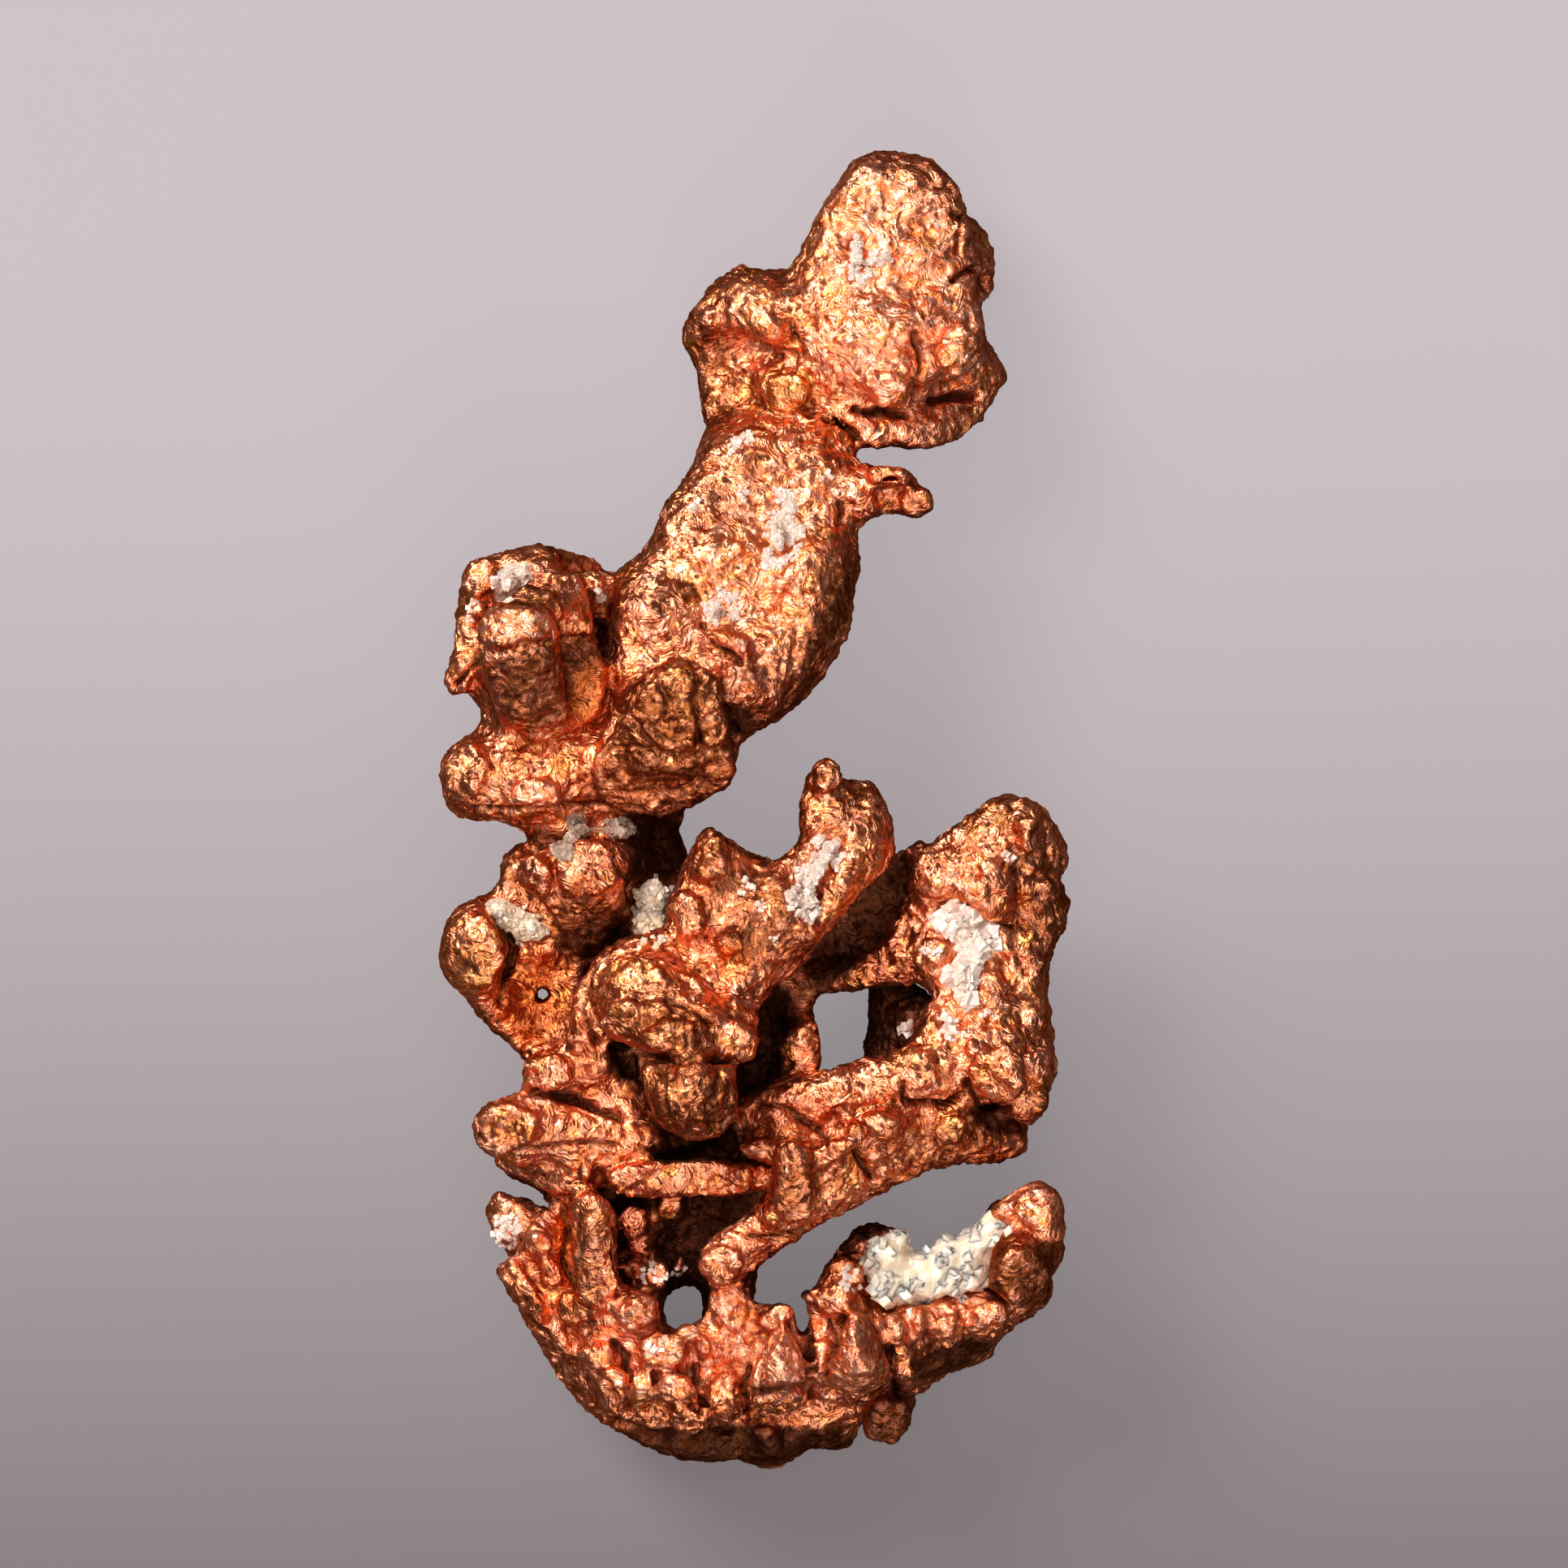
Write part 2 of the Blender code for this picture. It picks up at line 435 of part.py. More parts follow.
    # the back
    form.lump(8.4, -3.4, 5.4, 1.4, 1.8, 1.4)
    form.lump(8.0, -8.6, 5.8, 1.4, 1.6, 1.4)
    form.lump(7.9, -10.2, 5.4, 1.3, 0.9, 1.1)
    form.lump(8.2, -6.2, 4.4, 1.7, 2.2, 1.8)
    form.limb((7.6, -6.8, 3.8, 1.6), (7.9, -6.0, 1.55, 1.35))
    form.lump(6.9, -3.0, 5.6, 1.2, 1.0, 1.1)
    form.lump(5.2, -10.6, 5.8, 1.4, 0.9, 1.1)
    form.limb((6.4, -10.2, 6.0, 1.0), (5.0, -10.2, 6.4, 1.0))


def loop_grooves(form):
    form.limb((10.1, -0.2, 8.4, 0.25), (9.3, -1.4, 9.2, 0.3), (9.3, -2.0, 9.2, 0.25))
    form.limb((9.9, -9.0, 8.6, 0.3), (8.2, -9.8, 8.6, 0.35), (6.9, -10.0, 9.0, 0.3))
    form.limb((5.6, -6.6, 8.6, 0.4), (4.9, -6.4, 8.0, 0.5))


def arm(form):
    """The crystal-studded arm that curves round the bottom and up to the right."""
    form.limb(
        (-6.9, -15.8, 5.8, 1.0), (-6.6, -17.6, 5.8, 1.1), (-5.6, -19.1, 5.8, 1.2), (-4.3, -20.2, 5.6, 1.25),
        (-2.6, -20.9, 5.4, 1.3), (-0.8, -21.1, 5.2, 1.3), (1.0, -20.8, 5.2, 1.3), (2.6, -19.9, 5.4, 1.35),
        (4.2, -18.9, 5.6, 1.4), (5.8, -17.8, 5.8, 1.4), (7.4, -16.6, 5.8, 1.4), (8.7, -15.4, 6.0, 1.4),
        (9.4, -14.2, 6.4, 1.2),
    )
    form.limb(
        (-5.2, -18.6, 7.2, 0.9), (-3.6, -18.9, 7.4, 1.0), (-1.8, -19.0, 7.4, 1.1), (0.2, -18.9, 7.4, 1.1),
        (2.2, -18.4, 7.4, 1.1), (4.0, -17.6, 7.4, 1.1), (5.6, -16.6, 7.2, 1.1), (7.4, -15.6, 7.0, 1.2),
    )
    # pillar and knobs on the left
    form.limb(
        (-5.7, -13.2, 8.4, 0.62), (-5.6, -14.6, 8.6, 0.72), (-5.3, -16.2, 8.3, 0.75),
        (-5.1, -17.4, 7.8, 0.7),
    )
    form.limb((-6.4, -12.9, 6.2, 0.9), (-6.6, -14.6, 6.2, 0.85), (-6.6, -16.4, 6.2, 1.0))
    form.lump(-7.5, -14.6, 7.0, 0.65, 0.7, 0.9)
    form.lump(-6.3, -16.9, 7.2, 0.65, 0.9, 0.8)
    form.lump(-8.4, -13.7, 5.0, 0.85, 1.3, 1.1)
    form.limb(
        (-7.3, -17.3, 6.6, 0.65), (-8.0, -16.2, 6.9, 0.6), (-8.4, -15.7, 6.9, 0.5),
        (-8.85, -15.3, 6.8, 0.2),
    )
    form.limb((-7.2, -13.2, 4.4, 0.8), (-8.2, -14.2, 4.6, 0.8), (-7.2, -16.0, 5.0, 0.8))
    # knobs and stubs along the front of the left half
    form.lump(-5.5, -18.5, 8.0, 0.6, 0.6, 0.7)
    form.lump(-4.9, -19.7, 7.6, 0.6, 0.8, 0.9, 20)
    form.lump(-4.1, -16.9, 8.4, 0.75, 0.72, 0.8, 25)
    form.lump(-3.5, -18.2, 8.3, 0.85, 0.7, 0.9)
    form.lump(-3.8, -19.5, 8.3, 0.34, 0.52, 0.6)
    form.lump(-2.7, -19.6, 8.4, 0.75, 0.72, 0.9)
    form.lump(-2.2, -20.7, 7.6, 0.8, 0.68, 0.9)
    form.limb((-1.3, -18.8, 7.8, 0.6), (-1.1, -20.2, 8.2, 0.62))
    form.lump(-2.1, -17.9, 7.8, 0.6, 0.62, 0.7)
    form.limb((-0.9, -18.4, 8.0, 0.8), (-1.0, -17.2, 8.1, 0.68), (-0.9, -16.3, 8.0, 0.75))
    form.limb((-0.2, -17.6, 8.0, 0.5), (0.6, -17.0, 8.3, 0.5), (0.85, -17.0, 8.3, 0.45))
    # two large pointed crystals
    form.plate(
        [(0.9, -17.3), (1.6, -18.3), (1.7, -19.5), (1.0, -20.5), (0.2, -20.2), (-0.3, -19.7), (0.1, -18.4)],
        low=6.4, mid=8.2, high=9.4, front=0.45,
    )
    form.plate(
        [(3.1, -16.7), (3.7, -16.9), (4.3, -18.1), (4.9, -19.2), (3.6, -20.0), (2.3, -19.5), (2.6, -18.0)],
        low=6.4, mid=8.4, high=9.8, front=0.4,
    )
    form.limb((1.9, -18.2, 8.0, 0.36), (1.9, -19.4, 8.2, 0.34))
    form.limb((2.1, -17.2, 8.0, 0.45), (2.1, -18.4, 8.1, 0.42))
    form.limb((5.0, -17.4, 8.2, 0.5), (5.2, -19.0, 8.0, 0.42))
    # end of the arm, round the quartz pocket
    form.limb((3.0, -16.4, 8.2, 0.8), (2.1, -16.5, 8.4, 0.42), (1.45, -16.45, 8.4, 0.12))
    form.lump(2.9, -15.7, 8.0, 0.8, 0.7, 0.9)
    form.limb((3.2, -16.6, 6.0, 1.3), (3.9, -14.9, 5.4, 1.05))
    form.lump(4.7, -14.6, 5.2, 0.6, 0.5, 0.9)
    form.lump(5.7, -17.3, 8.4, 0.5, 0.6, 0.7)
    form.lump(6.6, -17.5, 8.2, 0.5, 0.6, 0.7)
    form.lump(7.7, -17.3, 8.0, 0.62, 0.62, 0.8)
    form.limb((9.0, -15.3, 7.4, 1.3), (8.95, -15.3, 9.8, 1.05))
    form.limb((9.5, -14.2, 7.6, 1.05), (9.5, -13.5, 8.0, 1.1))
    form.lump(8.2, -13.8, 7.0, 0.75, 0.7, 0.9)
    form.lump(10.1, -14.9, 6.6, 0.55, 0.8, 1.1)
    # the underside, seen as dark ledges along the lower edge
    form.lump(9.4, -16.3, 5.4, 0.85, 1.0, 1.1)
    form.lump(8.3, -17.2, 5.0, 0.8, 0.8, 1.2)
    form.lump(7.4, -18.1, 4.6, 0.95, 1.0, 1.5)
    form.lump(5.7, -18.9, 4.2, 1.0, 1.0, 1.5)
    form.lump(4.55, -20.5, 3.3, 0.9, 1.1, 1.4)
    form.lump(2.6, -21.1, 3.8, 1.1, 0.95, 1.5)
    form.lump(0.3, -21.4, 3.8, 1.6, 1.15, 1.8)
    form.lump(-2.6, -21.1, 4.0, 1.6, 1.1, 1.6)
    form.lump(-5.4, -19.9, 5.0, 0.9, 0.8, 1.3)
    # the floor of the gap behind the slanting bar
    form.plate(
        [
            (-5.4, -12.9), (-5.2, -15.0), (-4.6, -16.4), (-3.9, -17.2), (-3.3, -16.7), (-2.7, -16.1),
            (-1.9, -15.8), (-1.7, -16.4), (-1.7, -17.8), (-0.4, -18.0), (-0.1, -16.2), (0.4, -14.6),
            (1.4, -13.2), (0.8, -12.2), (-2.0, -12.0), (-4.0, -12.2),
        ],
        low=2.9, mid=4.1, high=5.3, back=0.9, front=0.94,
    )
    form.limb((-1.0, -16.4, 5.0, 0.8), (-1.0, -18.6, 6.4, 1.0))
    form.limb((-4.4, -16.0, 5.4, 0.9), (-5.2, -17.4, 6.2, 1.0))
    form.limb((-4.1, -15.2, 6.2, 0.75), (-3.7, -16.0, 6.6, 0.75), (-3.9, -17.2, 7.0, 0.8))
    form.lump(-4.0, -13.7, 5.8, 0.9, 0.8, 0.9)
    form.lump(-2.9, -13.2, 5.7, 0.55, 0.6, 0.8)
    form.lump(2.6, -19.0, 4.6, 1.6, 1.3, 1.5)
    form.lump(-3.2, -19.2, 5.0, 1.7, 1.3, 1.3)
    form.lump(7.2, -16.4, 4.8, 1.4, 1.3, 1.5)
    form.lump(-6.2, -17.4, 4.8, 1.0, 1.4, 1.2)


def arm_grooves(form):
    form.limb((-5.0, -13.4, 8.4, 0.2), (-4.8, -15.0, 8.2, 0.3), (-4.6, -16.2, 8.0, 0.2))
    form.limb((-6.6, -13.4, 8.0, 0.3), (-6.4, -15.4, 8.0, 0.3), (-6.2, -16.2, 8.2, 0.2))


BRANCHES = {
    "head": (head, head_grooves),
    "stem": (stem, stem_grooves),
    "trunk": (trunk, trunk_grooves),
    "crown": (crown, crown_grooves),
    "loop": (loop, loop_grooves),
    "arm": (arm, arm_grooves),
}
# A branch is cut back from the branches named here, which keep their full shape at the fork.
YIELDS_TO = {
    "head": ("stem",),
    "trunk": ("stem",),
    "crown": ("trunk", "stem"),
    "loop": ("trunk", "crown"),
    "arm": ("trunk", "loop"),
}


# ---------------------------------------------------------------- quartz


def quartz_crusts():
    """Each crust of quartz as rows (x, y, z, half-width, half-height, half-depth, turn) that overlap."""
    return {
        "quartz_arm_pocket": [
            (4.5, -15.3, 8.0, 0.9, 1.1, 1.0, 0), (5.6, -15.9, 8.0, 1.1, 0.9, 0.9, 0),
            (6.9, -15.4, 7.9, 1.1, 1.1, 0.9, 0), (7.9, -14.5, 7.8, 0.9, 0.9, 0.9, 0),
            (4.6, -16.3, 8.1, 0.8, 0.6, 0.8, 0),
        ],
        "quartz_loop_patch": [
            (6.8, -3.7, 8.4, 0.85, 0.7, 0.6, 0), (7.5, -4.5, 8.4, 0.6, 0.6, 0.6, 0),
            (7.1, -5.6, 8.6, 0.5, 0.8, 0.6, 0),
        ],
        "quartz_crown_patch": [
            (2.4, -1.4, 10.1, 0.5, 0.7, 0.5, -20), (1.8, -2.1, 10.2, 0.8, 0.5, 0.5, 0),
            (1.8, -3.0, 10.2, 0.5, 0.6, 0.5, 0),
        ],
        "quartz_trunk_seam": [
            (-3.5, -3.0, 7.2, 0.6, 0.7, 0.9, 0), (-3.6, -3.9, 7.8, 0.6, 0.75, 0.9, 0),
        ],
        "quartz_claw_crust": [
            (-8.6, -3.45, 7.3, 0.75, 0.5, 0.6, -30), (-7.8, -3.95, 7.1, 0.75, 0.5, 0.6, -20),
        ],
        "quartz_knob_pocket": [
            (-8.5, 7.8, 9.0, 0.6, 0.6, 0.6, 0),
        ],
        "quartz_stem_upper": [
            (0.7, 9.3, 9.3, 0.6, 0.9, 0.5, 10),
        ],
        "quartz_stem_lower": [
            (-1.4, 6.9, 9.2, 0.6, 0.55, 0.5, 0),
        ],
        "quartz_head_patch": [
            (3.4, 19.0, 9.5, 0.4, 0.8, 0.5, 0),
        ],
        "quartz_neck": [
            (-6.1, -0.75, 8.2, 0.7, 0.45, 0.6, 35), (-5.3, -0.6, 7.9, 0.6, 0.3, 0.4, 0),
            (-4.6, -0.7, 8.2, 0.5, 0.4, 0.6, 0),
        ],
    }


# ---------------------------------------------------------------- making the solids


def evaluated(obj):
    """Applies the object's modifiers."""
    graph = bpy.context.evaluated_depsgraph_get()
    mesh = bpy.data.meshes.new_from_object(obj.evaluated_get(graph))
    obj.modifiers.clear()
    old, obj.data = obj.data, mesh
    bpy.data.meshes.remove(old)
    return obj


def remeshed(obj, voxel):
    remesh = obj.modifiers.new("one_skin", "REMESH")
    remesh.mode = "VOXEL"
    remesh.voxel_size = voxel * MM
    return evaluated(obj)


def smoothed(obj, rounds):
    smooth = obj.modifiers.new("soften", "SMOOTH")
    smooth.factor = 0.5
    smooth.iterations = rounds
    return evaluated(obj)


def thinned(obj, triangles):
    """Collapses edges down to about this many triangles."""
    obj.data.calc_loop_triangles()
    decimate = obj.modifiers.new("facets", "DECIMATE")
    decimate.ratio = min(1.0, triangles / len(obj.data.loop_triangles))
    return evaluated(obj)


def grown(obj, by):
    """A copy of the object, swollen by this many millimetres, to cut its neighbours with."""
    cutter = obj.copy()
    cutter.data = obj.data.copy()
    cutter.name = obj.name + "_grown"
    bpy.context.scene.collection.objects.link(cutter)
    swell = cutter.modifiers.new("swell", "DISPLACE")
    swell.mid_level = 0.0
    swell.strength = by * MM
    remeshed(cutter, COPPER_VOXEL)
    return as_cutter(thinned(cutter, CUTTER_TRIANGLES))


def as_cutter(obj):
    obj.hide_render = True
    obj.display_type = "WIRE"
    return obj


def cut(obj, cutter):
    boolean = obj.modifiers.new("cut", "BOOLEAN")
    boolean.operation = "DIFFERENCE"
    boolean.object = cutter
    evaluated(obj)
    return largest_part(obj)


def largest_part(obj):
    """Drops the crumbs that a cut leaves."""
    mesh = bmesh.new()
    mesh.from_mesh(obj.data)
    left = set(mesh.verts)
    parts = []
    while left:
        part, edge = set(), {left.pop()}
        while edge:
            part |= edge
            edge = {e.other_vert(v) for v in edge for e in v.link_edges} - part
        left -= part
        parts.append(part)
    parts.sort(key=len)
    crumbs = [v for part in parts[:-1] for v in part]
    bmesh.ops.delete(mesh, geom=crumbs, context="VERTS")
    mesh.to_mesh(obj.data)
    mesh.free()
    return obj


def copper_branches():
    made = {}
    for name, (model, model_grooves) in BRANCHES.items():
        form, grooves = Form(), Form()
        model(form)
        model_grooves(grooves)
        obj = remeshed(form.object(name), COPPER_VOXEL)
        groove = as_cutter(remeshed(grooves.object(name + "_grooves"), GROOVE_VOXEL))
        cut(obj, groove)
        made[name] = smoothed(remeshed(obj, COPPER_VOXEL), 2)
    return made


def quartz_solids():
    made = {}
    for name, lumps in quartz_crusts().items():
        form = Form()
        for lump in lumps:
            form.lump(*lump)
        made[name] = thinned(remeshed(form.object(name), QUARTZ_VOXEL), QUARTZ_TRIANGLES)
    return made


def worn_flat(obj):
    """Cuts off what is below the surface, and closes the cut with flat faces."""
    mesh = bmesh.new()
    mesh.from_mesh(obj.data)
    geom = mesh.verts[:] + mesh.edges[:] + mesh.faces[:]
    low = Vector((0, 0, SURFACE * MM))
    made = bmesh.ops.bisect_plane(
        mesh, geom=geom, dist=1e-7, plane_co=low, plane_no=Vector((0, 0, -1)), clear_outer=True
    )
    rim = [e for e in made["geom_cut"] if isinstance(e, bmesh.types.BMEdge)]
    if rim:
        bmesh.ops.contextual_create(mesh, geom=rim)
    mesh.to_mesh(obj.data)
    mesh.free()
    return obj


def fit_to_size(solids):
    """Sets the whole piece to its length and depth, with the middle of its box's base at the origin."""
    boxes = [box(obj) for obj in solids]
    low = np.min([b[0] for b in boxes], axis=0)
    high = np.max([b[1] for b in boxes], axis=0)
    middle = (low + high) / 2
    across = LENGTH * MM / (high[1] - low[1])
    up = DEPTH * MM / (high[2] - low[2])
    size = Matrix.Diagonal((across, across, up, 1.0))
    place = Matrix.Translation(Vector((-middle[0], -middle[1], -low[2])))
    for obj in solids:
        obj.data.transform(size @ place)


def finished(obj, colour, roughness, metallic):
    """Gives the object a material of its own."""
    material = bpy.data.materials.new(obj.name)
    material.use_nodes = True
    shader = material.node_tree.nodes["Principled BSDF"]
    shader.inputs["Base Color"].default_value = (*colour, 1.0)
    shader.inputs["Roughness"].default_value = roughness
    shader.inputs["Metallic"].default_value = metallic
    obj.data.materials.clear()
    obj.data.materials.append(material)


def near(a, b):
    """Whether two objects' boxes come within a gap's width of each other."""
    reach = 2 * GAP * MM
    low_a, high_a = box(a)
    low_b, high_b = box(b)
    return bool(((low_a - reach < high_b) & (low_b - reach < high_a)).all())


def box(obj):
    co = np.array([v.co for v in obj.data.vertices])
    return co.min(axis=0), co.max(axis=0)


def main():
    for obj in list(bpy.data.objects):
        bpy.data.objects.remove(obj)
    branches = copper_branches()
    crusts = quartz_solids()
    swollen = {name: grown(obj, GAP) for name, obj in branches.items()}
    pockets = [grown(obj, GAP) for obj in crusts.values()]
    for name, obj in branches.items():
        for other in YIELDS_TO.get(name, ()):
            cut(obj, swollen[other])
        for pocket in pockets:
            if near(obj, pocket):
                cut(obj, pocket)
        remeshed(obj, COPPER_VOXEL)
        thinned(largest_part(obj), COPPER_TRIANGLES[name])
    solids = list(branches.values()) + list(crusts.values())
    for obj in branches.values():
        worn_flat(obj)
        finished(obj, COPPER, COPPER_ROUGHNESS, 1.0)
    for obj in crusts.values():
        finished(obj, QUARTZ, QUARTZ_ROUGHNESS, 0.0)
    fit_to_size(solids)


main()
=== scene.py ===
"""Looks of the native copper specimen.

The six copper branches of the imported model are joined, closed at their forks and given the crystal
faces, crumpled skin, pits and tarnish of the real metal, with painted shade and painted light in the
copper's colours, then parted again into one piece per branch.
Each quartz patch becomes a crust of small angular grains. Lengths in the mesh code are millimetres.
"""

import math
from collections import namedtuple

import bmesh
import bpy
import numpy as np
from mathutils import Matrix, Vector
from mathutils.bvhtree import BVHTree
from mathutils.kdtree import KDTree


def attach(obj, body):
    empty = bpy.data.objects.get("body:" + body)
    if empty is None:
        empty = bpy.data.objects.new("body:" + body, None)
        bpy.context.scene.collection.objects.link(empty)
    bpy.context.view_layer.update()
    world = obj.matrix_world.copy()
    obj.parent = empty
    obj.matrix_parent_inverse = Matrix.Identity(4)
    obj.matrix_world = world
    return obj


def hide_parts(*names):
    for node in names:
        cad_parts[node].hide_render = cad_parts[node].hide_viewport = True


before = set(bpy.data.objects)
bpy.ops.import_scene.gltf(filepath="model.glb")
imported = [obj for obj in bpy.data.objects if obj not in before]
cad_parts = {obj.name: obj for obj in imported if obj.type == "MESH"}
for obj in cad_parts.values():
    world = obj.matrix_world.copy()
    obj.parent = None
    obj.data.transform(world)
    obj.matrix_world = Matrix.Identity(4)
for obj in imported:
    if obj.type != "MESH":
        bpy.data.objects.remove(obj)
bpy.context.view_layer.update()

MM = 0.001

BRANCHES = ("head", "stem", "trunk", "crown", "loop", "arm")

# cell sizes of the meshes, and how far the forks between the branches are closed, mm
BASE_VOXEL = 0.16
COPPER_VOXEL = 0.098
QUARTZ_VOXEL = 0.16
SKY_VOXEL = 0.32
FORK_CLOSING = 0.17
FLOOR_Z = 0.0


# ---------------------------------------------------------------- meshes

def array_of(items, value, width, kind=float):
    """One value of all the vertices or edges of a mesh, as an array with so many columns."""
    flat = np.empty(len(items) * width, dtype=kind)
    items.foreach_get(value, flat)
    return flat.reshape(-1, width)


def points_of(thing):
    """The places of an object's vertices."""
    return array_of(thing.data.vertices, "co", 3)


def normals_of(thing):
    """The unit normals at an object's vertices."""
    return array_of(thing.data.vertex_normals, "vector", 3)


def edges_of(thing):
    """The vertex pairs of an object's edges."""
    return array_of(thing.data.edges, "vertices", 2, np.int64)


def set_points(thing, points):
    """Writes the places of the vertices back into an object's mesh."""
    thing.data.vertices.foreach_set("co", np.ascontiguousarray(points).ravel())
    thing.data.update()


def averaged(values, edges, rounds, pull=0.5):
    """Values at vertices after so many rounds of averaging with their neighbours."""
    count = len(values)
    ends = np.concatenate([edges[:, 0], edges[:, 1]])
    others = np.concatenate([edges[:, 1], edges[:, 0]])
    neighbours = np.maximum(np.bincount(ends, minlength=count), 1)
    result = np.array(values, dtype=float)
    columns = result.reshape(count, -1)
    for _ in range(rounds):
        for column in range(columns.shape[1]):
            total = np.bincount(ends, weights=columns[others, column], minlength=count)
            columns[:, column] += pull * (total / neighbours - columns[:, column])
    return columns.reshape(result.shape)


def placed(name, data):
    """An object in the scene that shows this mesh, camera or light."""
    thing = bpy.data.objects.new(name, data)
    bpy.context.scene.collection.objects.link(thing)
    return thing


def new_object(name, vertices, faces):
    """A mesh object made from vertices and faces."""
    mesh = bpy.data.meshes.new(name)
    mesh.from_pydata(vertices, [], faces)
    mesh.update()
    return placed(name, mesh)


def from_work(name, work):
    """A mesh object made from a bmesh, which is freed."""
    mesh = bpy.data.meshes.new(name)
    work.to_mesh(mesh)
    work.free()
    return placed(name, mesh)


def applied(thing):
    """Turns what an object's modifiers give into its mesh."""
    graph = bpy.context.evaluated_depsgraph_get()
    mesh = bpy.data.meshes.new_from_object(thing.evaluated_get(graph))
    old = thing.data
    thing.modifiers.clear()
    thing.data = mesh
    bpy.data.meshes.remove(old)


def remeshed(thing, voxel):
    """Gives an object an even mesh of about this edge length."""
    modifier = thing.modifiers.new("remesh", "REMESH")
    modifier.mode = "VOXEL"
    modifier.voxel_size = voxel
    applied(thing)


def removed(thing):
    """Deletes a helper object with its mesh."""
    mesh = thing.data
    bpy.data.objects.remove(thing)
    bpy.data.meshes.remove(mesh)


def tree_of(thing):
    """A search tree over an object's faces."""
    mesh = thing.data
    return BVHTree.FromPolygons(
        [vertex.co.copy() for vertex in mesh.vertices],
        [tuple(polygon.vertices) for polygon in mesh.polygons],
    )


def joined_nodes(names):
    """One object in millimetres from several CAD nodes, and the node number of each of its faces."""
    vertices = []
    faces = []
    owners = []
    for number, name in enumerate(names):
        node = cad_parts[name]
        start = len(vertices)
        for vertex in node.data.vertices:
            vertices.append(tuple(node.matrix_world @ vertex.co / MM))
        for polygon in node.data.polygons:
            faces.append([start + corner for corner in polygon.vertices])
            owners.append(number)
    return new_object("joined", vertices, faces), np.array(owners)


# ---------------------------------------------------------------- random fields

# The corners of a unit cell, and the steps from a cell to itself and to the cells round it
CORNERS = np.array([(number & 1, number >> 1 & 1, number >> 2 & 1) for number in range(8)])
STEPS = np.array([(number % 3 - 1, number // 3 % 3 - 1, number // 9 - 1) for number in range(27)])
# Large odd numbers that scatter the bits of a cell's three numbers and of the seed, and two rounds of
# folding and scattering them again
HASH_CELL = (73856093, 19349663, 83492791)
HASH_SEED = 40503
HASH_ROUNDS = ((15, 2246822519), (13, 3266489917))
HASH_ALL = 0xFFFFFFFF
HASH_KEPT = 0xFFFFFF


def hashed(cells, seed):
    """A repeatable number from 0 to 1 for every whole-number cell."""
    value = cells[:, 0] * HASH_CELL[0] ^ cells[:, 1] * HASH_CELL[1] ^ cells[:, 2] * HASH_CELL[2]
    value = (value ^ seed * HASH_SEED) & HASH_ALL
    for shift, factor in HASH_ROUNDS:
        value = ((value ^ value >> shift) * factor) & HASH_ALL
    return ((value ^ value >> 16) & HASH_KEPT) / float(HASH_KEPT)


def noise(points, size, seed):
    """Smooth noise from -1 to 1 with features of this size."""
    scaled = points / size
    cell = np.floor(scaled).astype(np.int64)
    part = scaled - cell
    part = part * part * part * (part * (part * 6 - 15) + 10)
    total = np.zeros(len(points))
    for corner in CORNERS:
        weight = np.prod(np.where(corner == 1, part, 1 - part), axis=1)
        total += weight * hashed(cell + corner, seed)
    return total * 2 - 1


# What folded noise is stretched by, so that it runs from about -1 to 1
FOLD_STRETCH = 2.6


def folded(points, size, seed):
    """Noise folded over into sharp crests between hollows, as in crumpled foil."""
    return 1 - FOLD_STRETCH * np.abs(noise(points, size, seed))


def layered(points, size, seed, layers=3, pattern=noise):
    """A pattern in several layers, each half the size and strength of the one before."""
    total = np.zeros(len(points))
    for layer in range(layers):
        total += pattern(points, size / 2 ** layer, seed + layer) / 2 ** layer
    return total / (2 - 0.5 ** (layers - 1))


def blotches(points, strength, size, seed):
    """Layered noise of this strength."""
    return strength * layered(points, size, seed)


def wander(points, size, seed, axes=3):
    """Smooth noise along each of the first axes, as one row for each point."""
    return np.stack([noise(points, size, seed + axis) for axis in range(axes)], axis=1)


def turns(count, seed):
    """Random rotation matrices."""
    random = np.random.default_rng(seed)
    quaternions = random.normal(size=(count, 4))
    quaternions /= np.linalg.norm(quaternions, axis=1)[:, None]
    w, x, y, z = quaternions.T
    return np.stack([
        np.stack([1 - 2 * (y * y + z * z), 2 * (x * y - z * w), 2 * (x * z + y * w)], axis=1),
        np.stack([2 * (x * y + z * w), 1 - 2 * (x * x + z * z), 2 * (y * z - x * w)], axis=1),
        np.stack([2 * (x * z - y * w), 2 * (y * z + x * w), 1 - 2 * (x * x + y * y)], axis=1),
    ], axis=1)


TURNS = turns(64, 5)


def near_cells(points, size, seed):
    """The cells in and round each point's own, with the way in sizes from a place in them to the point."""
    scaled = points / size
    cell = np.floor(scaled).astype(np.int64)
    for step in STEPS:
        other = cell + step
        place = np.stack([hashed(other, seed + axis) for axis in range(3)], axis=1)
        yield other, scaled - other - place


# The level of a crust of crystals that counts as 0, in sizes under their middles
CRYSTAL_LEVEL = 0.42


def crystals(points, size, seed, length=1.0):
    """Height of a crust of turned box-shaped crystals, in sizes: about 0 at its middle level."""
    best = np.full(len(points), np.inf)
    for cell, way in near_cells(points, size, seed):
        turn = TURNS[(hashed(cell, seed + 3) * (len(TURNS) - 0.01)).astype(np.int64)]
        local = np.abs(np.einsum("nij,nj->ni", turn, way))
        local[:, 0] /= length
        best = np.minimum(best, local.max(axis=1))
    return CRYSTAL_LEVEL - best


